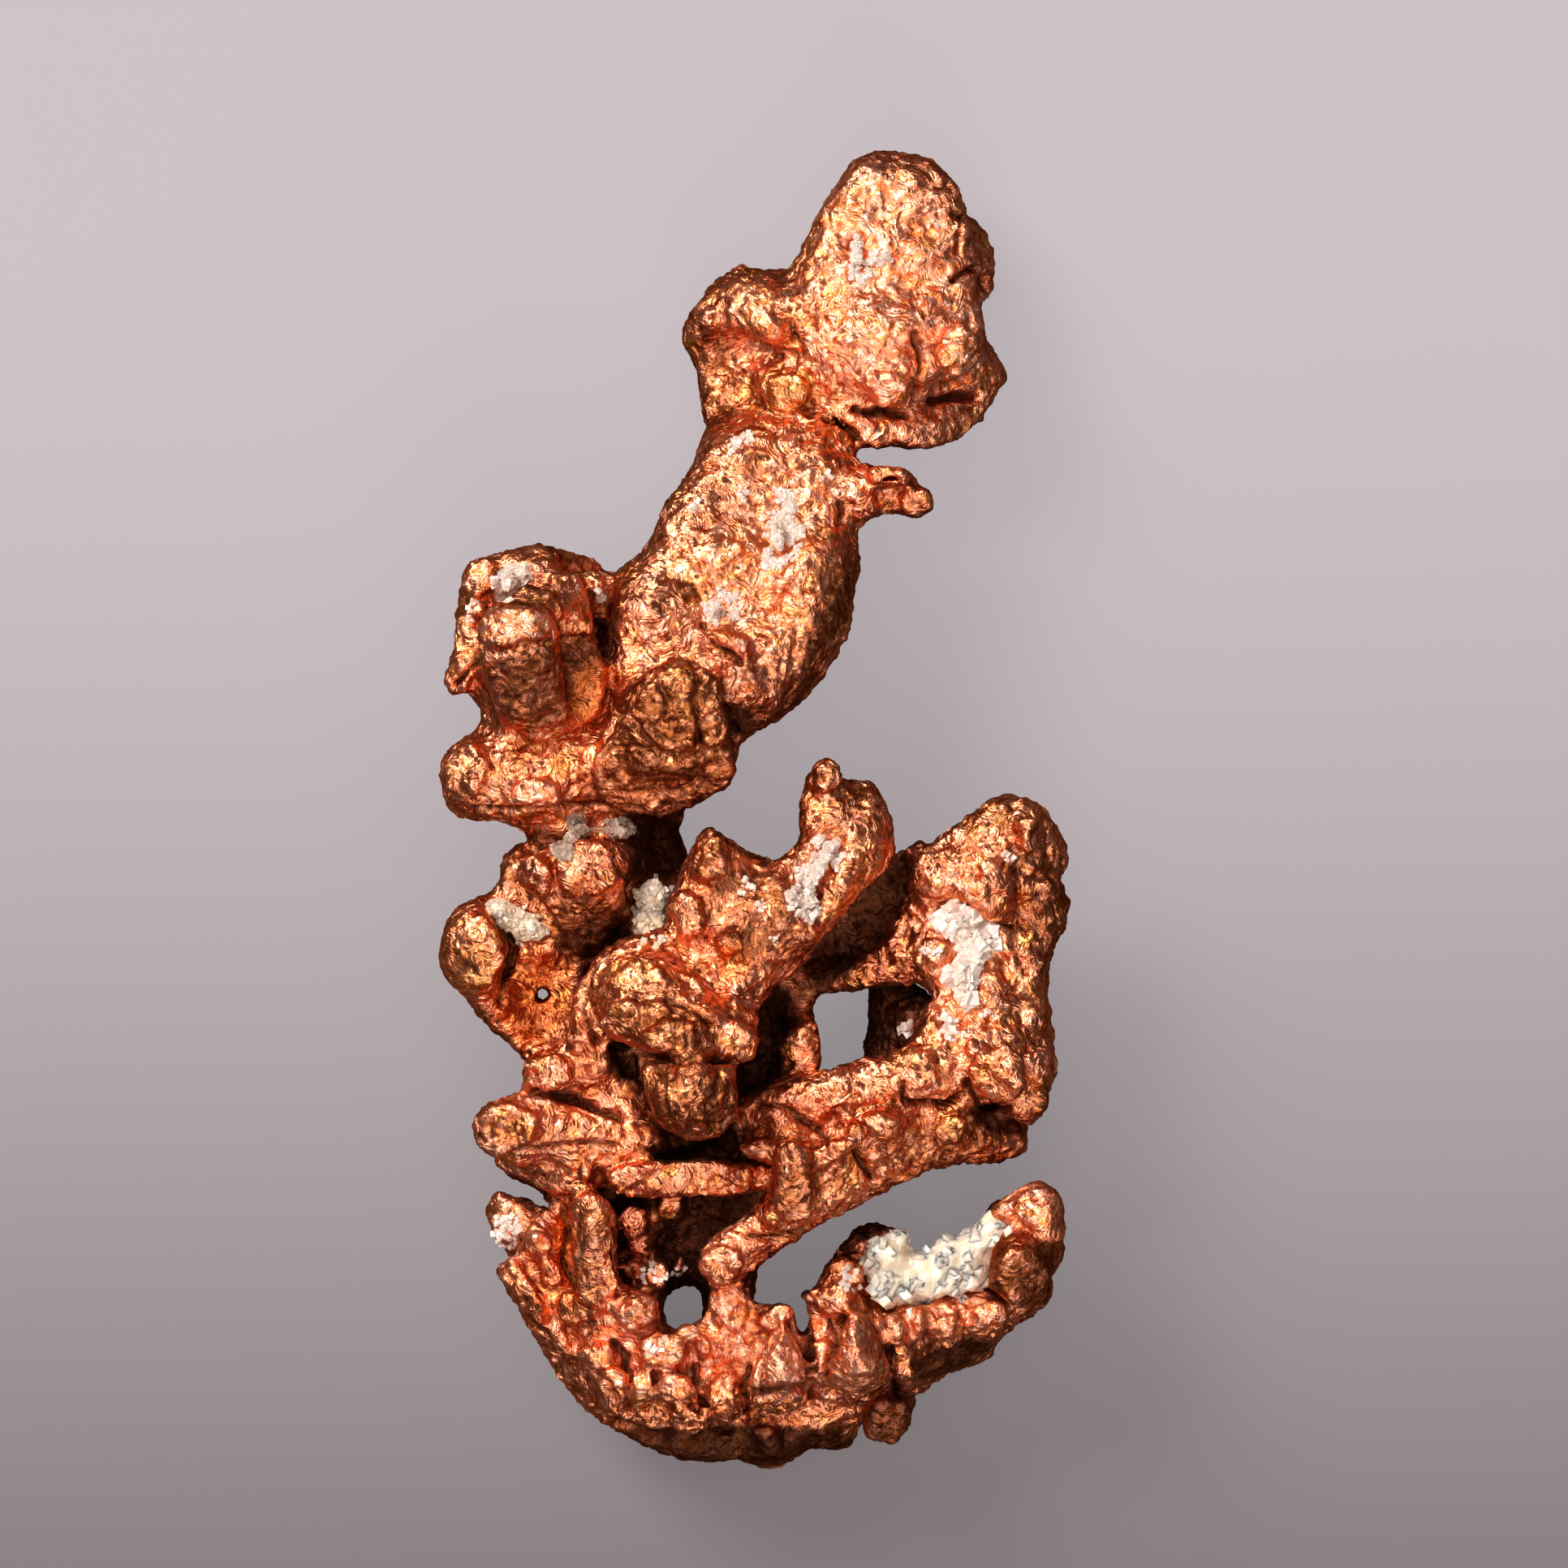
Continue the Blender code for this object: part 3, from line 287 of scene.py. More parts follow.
def pits(points, size, radius, share, seed):
    """Round dents: 1 in the middle of a pit, 0 outside, in this share of the cells."""
    depth = np.zeros(len(points))
    for cell, way in near_cells(points, size, seed):
        away = np.linalg.norm(way, axis=1) * size / radius
        chosen = hashed(cell, seed + 3) < share
        depth = np.maximum(depth, np.where(chosen, np.clip(1 - away * away, 0, 1), 0))
    return depth


def eased(values):
    """Smooth step from 0 to 1."""
    held = np.clip(values, 0, 1)
    return held * held * (3 - 2 * held)


# ---------------------------------------------------------------- places on the specimen

# Over how much of its radius a zone fades out, and over what height (mm)
ZONE_FADE = 0.5
LEVEL_FADE = 0.8


def above(points, low):
    """1 above this height and 0 below it."""
    return eased((points[:, 2] - low) / LEVEL_FADE + 0.5)


def facing_up(normals, span, start):
    """1 where the surface faces up and 0 where it faces down, changing over this much of the normal."""
    return eased(normals[:, 2] / span + start)


def zone(points, x, y, width, height, turn=0.0, low=-math.inf, high=math.inf):
    """1 inside an oval column of the specimen and 0 outside, seen from above, between two heights."""
    angle = math.radians(turn)
    across = (points[:, 0] - x) * math.cos(angle) + (points[:, 1] - y) * math.sin(angle)
    along = (points[:, 1] - y) * math.cos(angle) - (points[:, 0] - x) * math.sin(angle)
    away = np.sqrt((across / (width / 2)) ** 2 + (along / (height / 2)) ** 2)
    inside = eased((1 - away) / ZONE_FADE + 0.5)
    below = eased((high - points[:, 2]) / LEVEL_FADE + 0.5)
    return inside * (above(points, low) * below)


def zones(points, table):
    """The strongest of several zones at each point. Each row: strength, then what zone takes."""
    total = np.zeros(len(points))
    for strength, *place in table:
        total = np.maximum(total, strength * zone(points, *place))
    return total


def stroke(points, path, width, low):
    """1 on a line drawn over the specimen, seen from above, falling to 0 at this width."""
    away = np.full(len(points), np.inf)
    flat = points[:, :2]
    for start, end in zip(path, path[1:]):
        start = np.array(start)
        along = np.array(end) - start
        share = np.clip((flat - start) @ along / (along @ along), 0, 1)
        away = np.minimum(away, np.linalg.norm(flat - start - share[:, None] * along, axis=1))
    return eased(1 - away / (width / 2)) * above(points, low)


# ---------------------------------------------------------------- copper

# Zones of the copper. Each: strength, x, y, width, height, then where it needs them its turn in degrees,
# lowest z (-1 for none) and highest z (mm)
CRYSTAL_ZONES = (
    (0.4, 1.0, -18.4, 15.0, 7.6),
    (1.0, 8.0, -15.6, 6.0, 6.0),
    (0.9, 6.5, -9.6, 9.0, 5.0, 20),
    (0.8, 8.0, -4.0, 6.0, 9.0),
    (0.7, -7.6, -14.6, 4.0, 6.0),
)
CRUMPLED_ZONES = (
    (1.0, 4.6, 16.8, 10.0, 14.0, 20),
    (0.8, 0.6, 8.0, 6.5, 11.0, -15),
    (0.7, 0.0, -3.0, 7.0, 6.0, 30),
)
SMOOTH_ZONES = (
    (0.5, -3.0, 2.4, 5.4, 6.0),
    (0.3, -2.4, -10.0, 4.0, 4.0),
    (0.8, -9.8, -4.7, 3.2, 3.6),
    (0.7, -2.6, 6.4, 4.4, 5.0),
    (0.9, -7.4, 5.0, 5.0, 6.0),
    (0.9, -7.5, -6.2, 3.0, 3.4),
    (1.25, 0.9, -18.6, 2.2, 3.6, 0, 5.0),
    (1.25, 3.4, -18.4, 2.4, 3.6, 0, 5.0),
    (0.7, -2.9, -19.8, 2.8, 3.0, 0, 5.0),
    (0.7, -4.6, -11.0, 6.0, 3.6),
    (0.7, 1.3, -12.4, 2.0, 4.0),
    (0.8, 9.2, -14.6, 3.0, 4.6),
    (0.7, -1.4, 14.4, 3.0, 4.0),
    (0.7, -5.5, -14.9, 1.8, 4.6, 0, 4.0),
)
# Each crease: width, depth, lowest z, then its path as x, y (mm)
CREASES = (
    (0.4, 0.35, 5.0, (5.5, 16.2), (5.6, 15.0), (5.5, 14.2)),
    (0.5, 0.5, 3.5, (6.0, 14.0), (6.7, 14.2), (7.4, 14.2)),
    (0.3, 0.2, 4.0, (6.4, 14.9), (7.3, 15.3), (7.6, 15.8)),
    (0.3, 0.2, 4.0, (6.3, 14.6), (7.2, 14.8)),
    (0.4, 0.3, 3.5, (6.7, 20.4), (7.3, 20.3)),
    (0.3, 0.25, 3.5, (6.8, 19.8), (6.9, 19.0)),
    (0.4, 0.4, 3.5, (6.8, 18.1), (7.5, 18.5)),
    (0.35, 0.3, 2.0, (7.6, 18.4), (7.8, 17.8)),
    (0.4, 0.35, 3.5, (3.4, 13.7), (4.6, 13.5), (5.2, 13.6)),
    (0.4, 0.5, 3.5, (2.4, 13.4), (2.9, 13.3), (3.2, 12.9), (3.4, 12.3)),
    (0.3, 0.25, 3.5, (0.0, 13.2), (0.8, 12.95), (1.6, 13.1)),
    (0.3, 0.25, 3.5, (0.6, 16.9), (1.1, 16.6), (1.3, 16.1)),
    (0.4, 0.4, 3.0, (2.95, 10.5), (2.95, 9.8)),
    (0.4, 0.3, 5.0, (-1.9, 6.2), (-1.2, 5.4), (-0.5, 5.0)),
    (0.45, 0.45, 6.0, (-1.15, 4.9), (-1.1, 3.8), (-0.8, 3.2)),
    (0.3, 0.25, 9.0, (-2.05, 5.0), (-1.95, 4.2), (-2.0, 2.4)),
    (0.4, 0.12, 8.0, (-5.2, 1.95), (-3.9, 2.2), (-2.6, 1.75), (-1.2, 2.1)),
    (0.35, 0.08, 8.0, (-5.1, 1.1), (-4.2, 1.5), (-2.9, 1.2), (-1.3, 1.5)),
    (0.35, 0.08, 8.0, (-4.6, 0.7), (-3.4, 0.5), (-2.2, 0.8)),
    (0.3, 0.1, 9.0, (-4.5, 2.6), (-3.6, 3.0), (-2.9, 2.5)),
    (0.3, 0.1, 9.0, (-9.0, 4.7), (-8.2, 5.2), (-7.3, 4.9)),
    (0.3, 0.08, 8.5, (-8.7, 3.9), (-8.0, 3.7), (-7.4, 4.1)),
    (0.3, 0.08, 8.0, (-8.2, 3.1), (-7.4, 3.0), (-6.7, 3.5)),
    (0.35, 0.18, 5.0, (-9.5, 0.05), (-7.4, 0.1), (-5.6, 0.05), (-3.9, 0.1)),
    (0.4, 0.3, 4.0, (-10.2, 4.3), (-9.5, 4.9), (-9.3, 5.6)),
    (0.5, 0.4, 5.0, (-8.4, -4.0), (-8.3, -5.2), (-8.7, -6.4)),
    (0.5, 0.4, 5.0, (-5.6, -5.4), (-5.9, -6.6), (-5.4, -7.8)),
    (0.4, 0.35, 8.0, (-2.9, -6.4), (-2.0, -6.6), (-1.4, -7.2)),
    (0.45, 0.4, 8.0, (-4.9, -7.9), (-3.6, -8.2), (-2.0, -8.3), (-0.5, -8.5)),
    (0.5, 0.4, 5.0, (-7.9, -9.5), (-7.0, -9.7), (-5.6, -9.9), (-4.6, -10.4)),
    (0.4, 0.25, 5.0, (-9.2, -11.9), (-7.8, -11.5), (-6.0, -11.3), (-4.8, -11.3)),
    (0.35, 0.2, 5.0, (-4.4, -12.9), (-3.6, -12.3), (-3.0, -12.0)),
    (0.35, 0.25, 4.0, (7.1, -3.3), (7.9, -3.8), (8.8, -3.9)),
    (0.4, 0.4, 4.0, (7.0, -9.2), (7.4, -9.9), (8.5, -10.0)),
    (0.4, 0.4, 5.0, (5.0, -9.2), (5.2, -9.9), (6.5, -9.9), (7.0, -9.7)),
    (0.35, 0.25, 5.0, (0.2, -9.9), (1.6, -10.4), (2.8, -10.9)),
    (0.4, 0.3, 5.0, (3.5, -11.5), (3.9, -12.4)),
    (0.4, 0.3, 5.0, (-0.2, -14.3), (0.9, -14.6), (1.7, -14.2)),
    (0.4, 0.35, 2.0, (-4.9, -17.9), (-4.4, -18.4), (-4.4, -19.0)),
    (0.3, 0.3, 2.0, (-4.3, -19.2), (-4.3, -20.5)),
    (0.3, 0.3, 2.0, (-3.4, -20.1), (-2.3, -20.2), (-1.9, -20.6)),
    (0.25, 0.2, 2.0, (-3.5, -19.0), (-2.4, -19.1), (-1.9, -19.3)),
    (0.5, 0.3, 1.0, (-4.9, -20.9), (-3.0, -21.3), (-1.0, -21.2)),
    (0.35, 0.35, 2.0, (-2.0, -18.8), (-1.9, -19.8), (-1.6, -20.6)),
    (0.4, 0.3, 2.0, (-0.35, -18.9), (-0.6, -19.7), (-0.3, -20.4)),
    (0.35, 0.4, 2.0, (1.8, -17.8), (1.9, -19.0), (2.0, -20.0)),
    (0.3, 0.3, 2.0, (2.55, -17.4), (2.5, -18.6)),
    (0.4, 0.4, 2.0, (4.5, -18.2), (4.6, -19.2), (4.9, -19.9)),
    (0.4, 0.2, 2.0, (-6.4, -13.4), (-6.5, -15.0), (-6.2, -16.2)),
    (0.35, 0.25, 2.0, (-4.6, -13.4), (-4.7, -15.0), (-4.6, -16.2)),
    (0.4, 0.3, 3.0, (7.9, -15.0), (7.8, -16.2), (8.6, -16.8)),
    (0.4, 0.2, 8.0, (-3.3, -8.7), (-3.1, -9.6), (-2.8, -10.5)),
    (0.4, 0.2, 8.0, (-1.3, -9.1), (-1.5, -10.0), (-1.4, -10.7)),
    (0.3, 0.14, 8.0, (-2.5, -9.6), (-2.1, -10.1), (-2.2, -10.8)),
    (0.35, 0.18, 9.0, (-4.6, 3.3), (-3.9, 2.9), (-3.4, 2.2)),
    (0.35, 0.16, 9.0, (-3.3, 4.4), (-3.0, 3.6), (-3.2, 3.0)),
    (0.3, 0.22, 2.0, (-2.2, -18.9), (-2.0, -19.9), (-2.6, -20.2), (-3.4, -19.9), (-3.5, -19.2)),
    (0.3, 0.22, 1.5, (-1.5, -20.4), (-1.7, -21.0), (-2.9, -20.9), (-3.1, -20.3)),
    (0.35, 0.22, 1.5, (-5.9, -18.6), (-5.0, -19.3), (-4.5, -20.2)),
    (0.3, 0.25, 2.0, (0.15, -19.5), (0.2, -18.4), (0.8, -17.4)),
    (0.3, 0.25, 2.0, (1.75, -19.5), (1.6, -18.4), (1.1, -17.4)),
    (0.3, 0.25, 2.0, (2.3, -19.4), (2.5, -18.2), (3.0, -17.2)),
    (0.3, 0.25, 2.0, (5.8, -17.0), (5.9, -17.9)),
    (0.3, 0.25, 2.0, (6.9, -17.0), (6.8, -18.0)),
)
# The striped face as a zone: x, y, width, height, turn, lowest z (mm)
STRIPED_FACE = (-0.55, 4.35, 1.3, 1.4, 0, 6.0)
STRIPE_SPACING = 0.24
STRIPE_DEPTH = 0.05

# Forms, hollows, crusts and specks are measured from this point of the model, mm
MIDDLE = (0.03, -0.07)

# Crystals and knobs on the copper. Each: how deep it is rooted, then its upper corners as x, y, z (mm)
FORMS = (
    # head
    (1.8, (6.0, 15.6, 7.0), (6.3, 16.4, 6.9), (7.0, 16.8, 6.8), (7.6, 16.2, 6.8), (7.6, 15.4, 6.8),
          (6.9, 14.9, 7.1), (6.2, 15.0, 7.2), (6.9, 15.8, 7.3)),
    (1.6, (3.6, 14.9, 7.1), (4.6, 15.0, 7.2), (5.2, 14.6, 7.1), (5.1, 13.9, 6.7), (4.1, 13.8, 6.6)),
    (1.4, (0.4, 14.9, 6.3), (1.4, 15.0, 6.5), (1.9, 14.4, 6.4), (1.4, 13.7, 6.0), (0.5, 13.8, 6.0)),
    # two small fingers
    (1.6, (4.9, 10.6, 6.8), (5.2, 11.1, 7.1), (5.8, 11.0, 7.0), (6.0, 10.5, 6.7), (5.5, 10.0, 6.5),
          (5.0, 10.2, 6.6)),
    (1.4, (3.7, 11.7, 7.5), (4.9, 11.75, 7.6), (5.4, 11.5, 7.3), (5.0, 11.2, 7.5), (3.9, 11.15, 7.5)),
    (1.6, (2.9, 10.8, 7.1), (3.8, 11.0, 7.1), (4.1, 10.3, 6.7), (3.6, 9.9, 6.4), (3.1, 10.2, 6.7)),
    # stem: the brown boss, two blocks over a wrinkled skirt, with the fold and the striped face beside it
    (2.8, (-4.7, 2.8, 10.9), (-4.0, 3.3, 11.4), (-3.8, 4.2, 11.6), (-3.2, 4.85, 11.8), (-2.5, 5.05, 11.9),
          (-2.05, 4.9, 11.7), (-2.05, 3.4, 11.3), (-2.1, 2.2, 10.7), (-4.2, 1.9, 10.6)),
    (2.6, (-1.95, 5.0, 11.7), (-1.35, 4.65, 11.5), (-1.1, 3.9, 11.2), (-1.3, 3.2, 10.9), (-1.0, 2.3, 10.5),
          (-1.8, 2.2, 10.7), (-1.9, 4.0, 11.5)),
    (2.6, (-5.5, 0.8, 9.4), (-5.5, 1.8, 9.9), (-4.9, 2.7, 10.3), (-2.8, 2.3, 10.6), (-1.0, 2.2, 10.2),
          (-0.65, 1.6, 9.9), (-0.9, 1.0, 9.5), (-1.8, 0.4, 9.0), (-3.3, -0.2, 8.5), (-4.9, 0.1, 8.9)),
    (1.2, (-1.9, 6.2, 9.3), (-1.0, 6.1, 9.6), (-0.3, 5.9, 9.6), (-0.25, 5.2, 9.5), (-1.1, 5.5, 9.3)),
    (1.5, (-1.2, 5.0, 9.7), (-0.1, 4.95, 9.5), (0.1, 4.0, 9.2), (-0.3, 3.7, 9.0), (-1.2, 3.9, 9.5)),
    # stem: the column on its left with four grooved faces on top, its cap, and the lobes round it
    (3.6, (-9.4, 5.3, 11.1), (-9.35, 6.4, 11.2), (-8.6, 7.0, 11.1), (-7.2, 7.1, 11.1), (-6.7, 6.4, 10.9),
          (-6.9, 5.2, 11.1), (-8.9, 4.0, 10.2), (-8.3, 2.9, 9.3), (-7.4, 2.4, 9.0), (-6.3, 2.8, 9.0),
          (-6.5, 3.9, 9.8), (-8.0, 5.2, 11.5)),
    (1.0, (-9.3, 5.7, 11.4), (-9.2, 6.6, 11.4), (-8.85, 6.85, 11.6), (-8.8, 5.6, 11.8)),
    (1.0, (-8.7, 5.6, 11.9), (-8.65, 6.9, 11.7), (-8.2, 6.95, 11.9), (-8.15, 5.6, 12.0)),
    (1.0, (-8.05, 5.9, 12.0), (-8.0, 7.0, 11.9), (-7.5, 7.0, 12.1), (-7.45, 5.8, 12.1)),
    (1.0, (-7.35, 5.9, 12.0), (-7.35, 6.95, 11.9), (-6.95, 6.7, 11.7), (-6.9, 6.0, 11.7)),
    (1.0, (-8.7, 4.4, 10.6), (-8.1, 4.7, 11.0), (-7.5, 4.4, 10.8), (-7.7, 3.4, 10.3), (-8.3, 3.2, 10.1)),
    (1.6, (-8.5, 7.1, 10.5), (-7.8, 7.8, 10.2), (-6.9, 7.5, 10.3), (-6.4, 6.7, 10.3), (-7.1, 7.0, 10.7)),
    (2.0, (-7.0, 8.1, 9.4), (-6.0, 8.1, 9.1), (-5.7, 7.2, 9.0), (-5.5, 6.1, 8.9), (-6.5, 6.0, 9.4),
          (-6.7, 7.0, 9.8)),
    (1.4, (-5.75, 8.2, 8.6), (-5.3, 8.1, 8.7), (-5.15, 7.7, 8.7), (-5.5, 7.5, 8.9)),
    (2.4, (-7.1, 6.0, 8.5), (-5.4, 6.0, 8.4), (-5.1, 4.8, 8.5), (-5.2, 3.4, 8.8), (-6.1, 2.8, 8.8),
          (-7.2, 3.2, 8.5)),
    (1.6, (-10.0, 7.6, 8.3), (-9.7, 8.4, 8.4), (-9.0, 8.7, 8.6), (-8.9, 7.8, 8.9), (-9.5, 7.2, 8.7)),
    (1.8, (-10.4, 5.2, 8.4), (-10.1, 6.6, 8.5), (-9.6, 6.9, 8.7), (-9.4, 5.6, 8.9), (-9.7, 4.8, 8.7)),
    (1.4, (-10.7, 4.6, 8.1), (-10.4, 5.0, 8.3), (-9.7, 4.7, 8.6), (-9.8, 4.05, 8.3), (-10.3, 4.0, 8.0)),
    (1.8, (-10.5, 1.0, 8.2), (-10.4, 2.1, 8.4), (-9.6, 2.4, 8.7), (-9.1, 1.6, 9.0), (-9.5, 0.7, 8.8),
          (-10.3, 0.2, 8.0)),
    (1.2, (-8.3, 0.4, 9.3), (-8.1, 1.0, 9.5), (-7.4, 1.2, 9.6), (-6.6, 0.9, 9.5), (-6.5, 0.3, 9.2),
          (-7.3, 0.15, 9.3)),
    # crown
    (2.0, (-1.6, -0.4, 10.6), (-2.3, -1.9, 10.7), (-1.1, -1.1, 11.2), (-1.0, -2.0, 11.1), (-1.8, -2.3, 11.0)),
    (1.2, (-3.0, -3.2, 10.9), (-2.5, -2.5, 11.0), (-1.9, -3.0, 11.2), (-1.7, -3.9, 11.1), (-2.5, -4.3, 10.9),
          (-2.5, -3.4, 11.2)),
    (1.0, (-1.5, -4.2, 11.3), (-0.7, -3.9, 11.5), (-0.3, -4.5, 11.5), (-1.1, -4.9, 11.2)),
    (1.0, (-2.6, -5.3, 11.1), (-1.9, -5.6, 11.4), (-1.6, -6.2, 11.3), (-2.3, -6.3, 11.1)),
    (1.6, (1.7, 1.0, 10.5), (2.0, 1.7, 10.4), (2.6, 1.8, 10.5), (2.9, 1.1, 10.7), (2.2, 0.7, 10.8)),
    # trunk: the column, the overhang above it and the lobes on the left
    (4.5, (-3.85, -8.4, 12.7), (-3.7, -9.6, 12.7), (-3.1, -10.6, 12.5), (-2.2, -11.0, 12.3),
          (-1.2, -10.9, 12.4), (-0.7, -10.2, 12.5), (-0.7, -8.5, 12.7), (-1.6, -9.2, 13.7),
          (-2.9, -9.2, 13.7), (-2.4, -10.2, 13.4)),
    (1.8, (-5.3, -7.2, 11.4), (-4.9, -6.4, 12.1), (-4.2, -6.2, 12.3), (-3.8, -6.9, 12.3), (-4.6, -7.6, 11.8)),
    (1.4, (-4.0, -7.4, 12.7), (-3.0, -6.9, 12.9), (-2.0, -7.0, 12.9), (-2.2, -7.9, 12.7), (-3.5, -8.0, 12.6)),
    (1.8, (-1.9, -7.2, 12.0), (-0.5, -7.0, 12.1), (0.0, -7.6, 11.8), (-0.2, -8.3, 11.6), (-1.6, -8.4, 11.8)),
    (1.2, (-5.0, -5.6, 11.2), (-4.0, -4.9, 11.4), (-3.0, -5.2, 11.5), (-2.9, -6.2, 11.6), (-4.6, -6.1, 11.6)),
    (1.6, (-7.9, -8.5, 9.3), (-7.2, -8.1, 9.8), (-6.4, -8.3, 9.9), (-6.2, -9.1, 9.8), (-7.0, -9.5, 9.6),
          (-7.8, -9.3, 9.2)),
    (2.6, (-9.6, -10.7, 9.1), (-9.2, -9.9, 9.6), (-8.3, -9.8, 10.0), (-7.3, -10.2, 10.0), (-7.5, -11.0, 9.9),
          (-8.6, -11.7, 9.2), (-9.3, -11.4, 8.9)),
    (3.5, (-9.0, -11.8, 6.6), (-8.0, -11.2, 8.3), (-6.5, -11.3, 8.6), (-5.5, -12.2, 8.5), (-6.0, -12.9, 7.8),
          (-7.4, -12.6, 7.2)),
    (2.4, (-5.2, -12.3, 8.6), (-4.3, -11.9, 8.9), (-2.8, -11.9, 9.0), (-1.2, -11.8, 8.8), (0.5, -12.1, 8.5),
          (0.3, -12.7, 8.4), (-1.0, -12.9, 8.5), (-3.0, -12.8, 8.7), (-4.6, -13.0, 8.3)),
    (1.2, (-1.0, -12.4, 9.0), (-0.6, -11.9, 9.2), (-0.1, -12.2, 9.2), (-0.4, -12.8, 9.0)),
    (2.0, (-8.1, -2.2, 9.5), (-7.9, -1.5, 9.9), (-7.3, -1.4, 10.3), (-6.9, -2.2, 10.3), (-7.2, -2.9, 9.8)),
    (1.6, (-6.8, -1.3, 10.1), (-5.8, -0.8, 10.3), (-4.9, -1.2, 10.4), (-4.7, -2.3, 10.2), (-5.5, -2.9, 9.9),
          (-6.5, -2.6, 10.1), (-5.8, -1.9, 10.4)),
    (2.6, (-7.3, -2.6, 9.6), (-6.9, -3.4, 9.0), (-6.5, -4.3, 8.4), (-6.1, -4.85, 7.8), (-5.3, -4.8, 7.8),
          (-4.8, -4.0, 8.4), (-4.4, -3.0, 9.0), (-4.5, -2.1, 9.6), (-5.5, -2.5, 10.2)),
    (2.4, (-10.7, -4.9, 8.9), (-10.4, -3.6, 9.3), (-9.6, -3.2, 9.5), (-8.8, -3.9, 9.8), (-8.5, -4.9, 9.7),
          (-9.0, -5.9, 9.3), (-9.9, -5.9, 8.9), (-9.6, -4.3, 9.9)),
    # loop
    (2.2, (5.0, -1.3, 7.5), (5.4, -1.05, 7.9), (6.1, -1.2, 7.9), (6.2, -1.7, 7.8), (5.4, -1.8, 7.6)),
    (1.6, (9.6, -1.2, 7.2), (10.2, -1.1, 6.8), (10.6, -1.95, 6.5), (10.0, -2.05, 6.9), (9.4, -1.8, 7.4)),
    (2.0, (9.6, -2.5, 7.2), (10.3, -2.5, 6.7), (10.55, -3.1, 6.4), (10.4, -4.0, 6.4), (10.0, -4.6, 6.6),
          (9.5, -4.2, 7.2)),
    (2.0, (8.3, -9.2, 8.4), (9.6, -9.0, 8.1), (9.9, -9.8, 7.8), (9.35, -10.55, 7.5), (8.6, -10.1, 8.0)),
    (1.4, (8.8, -0.2, 9.0), (9.5, -0.2, 9.0), (9.5, -1.3, 8.9), (9.0, -1.2, 9.2)),
    (1.8, (7.2, -8.8, 9.4), (7.5, -8.1, 9.7), (8.5, -7.9, 9.9), (9.1, -8.3, 9.7), (8.9, -9.4, 9.6),
          (8.2, -9.8, 9.1), (7.6, -9.5, 9.1), (8.3, -8.8, 9.9)),
    (1.5, (9.2, -8.2, 8.6), (9.9, -8.1, 8.3), (10.1, -9.0, 8.1), (9.4, -9.2, 8.4)),
    (2.5, (0.7, -7.9, 7.8), (1.4, -7.2, 8.2), (2.1, -7.0, 8.1), (2.2, -8.2, 8.0), (1.9, -9.0, 8.0),
          (0.8, -9.1, 7.9)),
    (1.6, (1.75, -11.4, 10.0), (2.6, -11.0, 10.3), (3.2, -11.1, 10.3), (3.3, -11.4, 10.1), (2.2, -12.1, 10.0),
          (1.9, -11.9, 9.9)),
    (1.6, (3.1, -11.2, 10.1), (3.2, -10.4, 10.3), (3.45, -10.35, 10.3), (3.6, -11.0, 10.0)),
    (1.6, (3.7, -10.2, 10.0), (4.9, -10.2, 10.1), (4.6, -10.9, 9.9), (4.0, -10.95, 9.8)),
    (1.4, (6.2, -10.4, 8.8), (6.7, -10.15, 9.0), (7.1, -10.5, 8.9), (6.9, -11.2, 8.6), (6.3, -11.1, 8.6)),
    (2.5, (0.65, -11.3, 10.6), (1.1, -11.0, 10.9), (1.8, -11.3, 10.7), (1.9, -12.6, 10.6), (1.9, -13.7, 10.1),
          (1.1, -13.9, 10.0), (0.6, -13.3, 10.3), (1.2, -12.0, 10.9)),
    (1.0, (0.15, -13.7, 9.6), (0.4, -13.35, 9.8), (0.75, -13.6, 9.8), (0.6, -14.0, 9.6), (0.3, -14.0, 9.5)),
    (0.9, (1.0, -13.6, 9.8), (1.25, -13.35, 9.9), (1.45, -13.6, 9.8), (1.2, -13.8, 9.7)),
    (1.2, (-0.7, -11.3, 9.3), (0.1, -11.0, 9.6), (0.9, -11.2, 9.6), (0.5, -11.8, 9.3), (-0.2, -11.6, 9.4)),
    (2.0, (-1.9, -15.1, 8.8), (-1.5, -14.7, 9.1), (-0.7, -14.7, 9.3), (-0.4, -15.3, 9.2), (-0.9, -16.0, 8.7),
          (-1.7, -15.9, 8.5)),
    # arm: the two kite crystals and the smaller ones between them
    (2.5, (0.9, -17.1, 7.8), (0.45, -17.7, 7.9), (0.1, -18.6, 8.0), (-0.3, -19.5, 7.9), (0.7, -18.5, 8.4),
          (1.0, -19.35, 8.3), (1.6, -18.3, 7.9), (1.8, -19.3, 7.8)),
    (1.9, (-0.3, -19.85, 7.0), (0.9, -19.65, 7.3), (1.7, -19.6, 7.0), (1.5, -20.1, 6.7), (0.8, -20.45, 6.5),
          (0.1, -20.2, 6.6)),
    (2.7, (3.2, -16.8, 8.2), (3.75, -17.0, 8.1), (3.25, -17.6, 8.7), (3.6, -18.8, 8.7), (2.55, -18.2, 7.9),
          (2.35, -19.2, 7.6), (3.4, -20.0, 7.1), (4.4, -19.35, 7.3), (4.6, -18.9, 7.5), (4.1, -17.8, 7.8)),
    (3.0, (3.75, -20.3, 4.9), (3.8, -21.35, 4.3), (4.6, -21.5, 4.2), (5.2, -20.9, 4.4), (5.2, -20.0, 4.9),
          (4.4, -19.9, 5.2)),
    (1.9, (1.4, -16.4, 7.1), (2.0, -16.05, 7.6), (2.8, -16.0, 7.9), (3.4, -16.3, 7.7), (3.0, -16.9, 7.7),
          (2.4, -17.05, 7.4)),
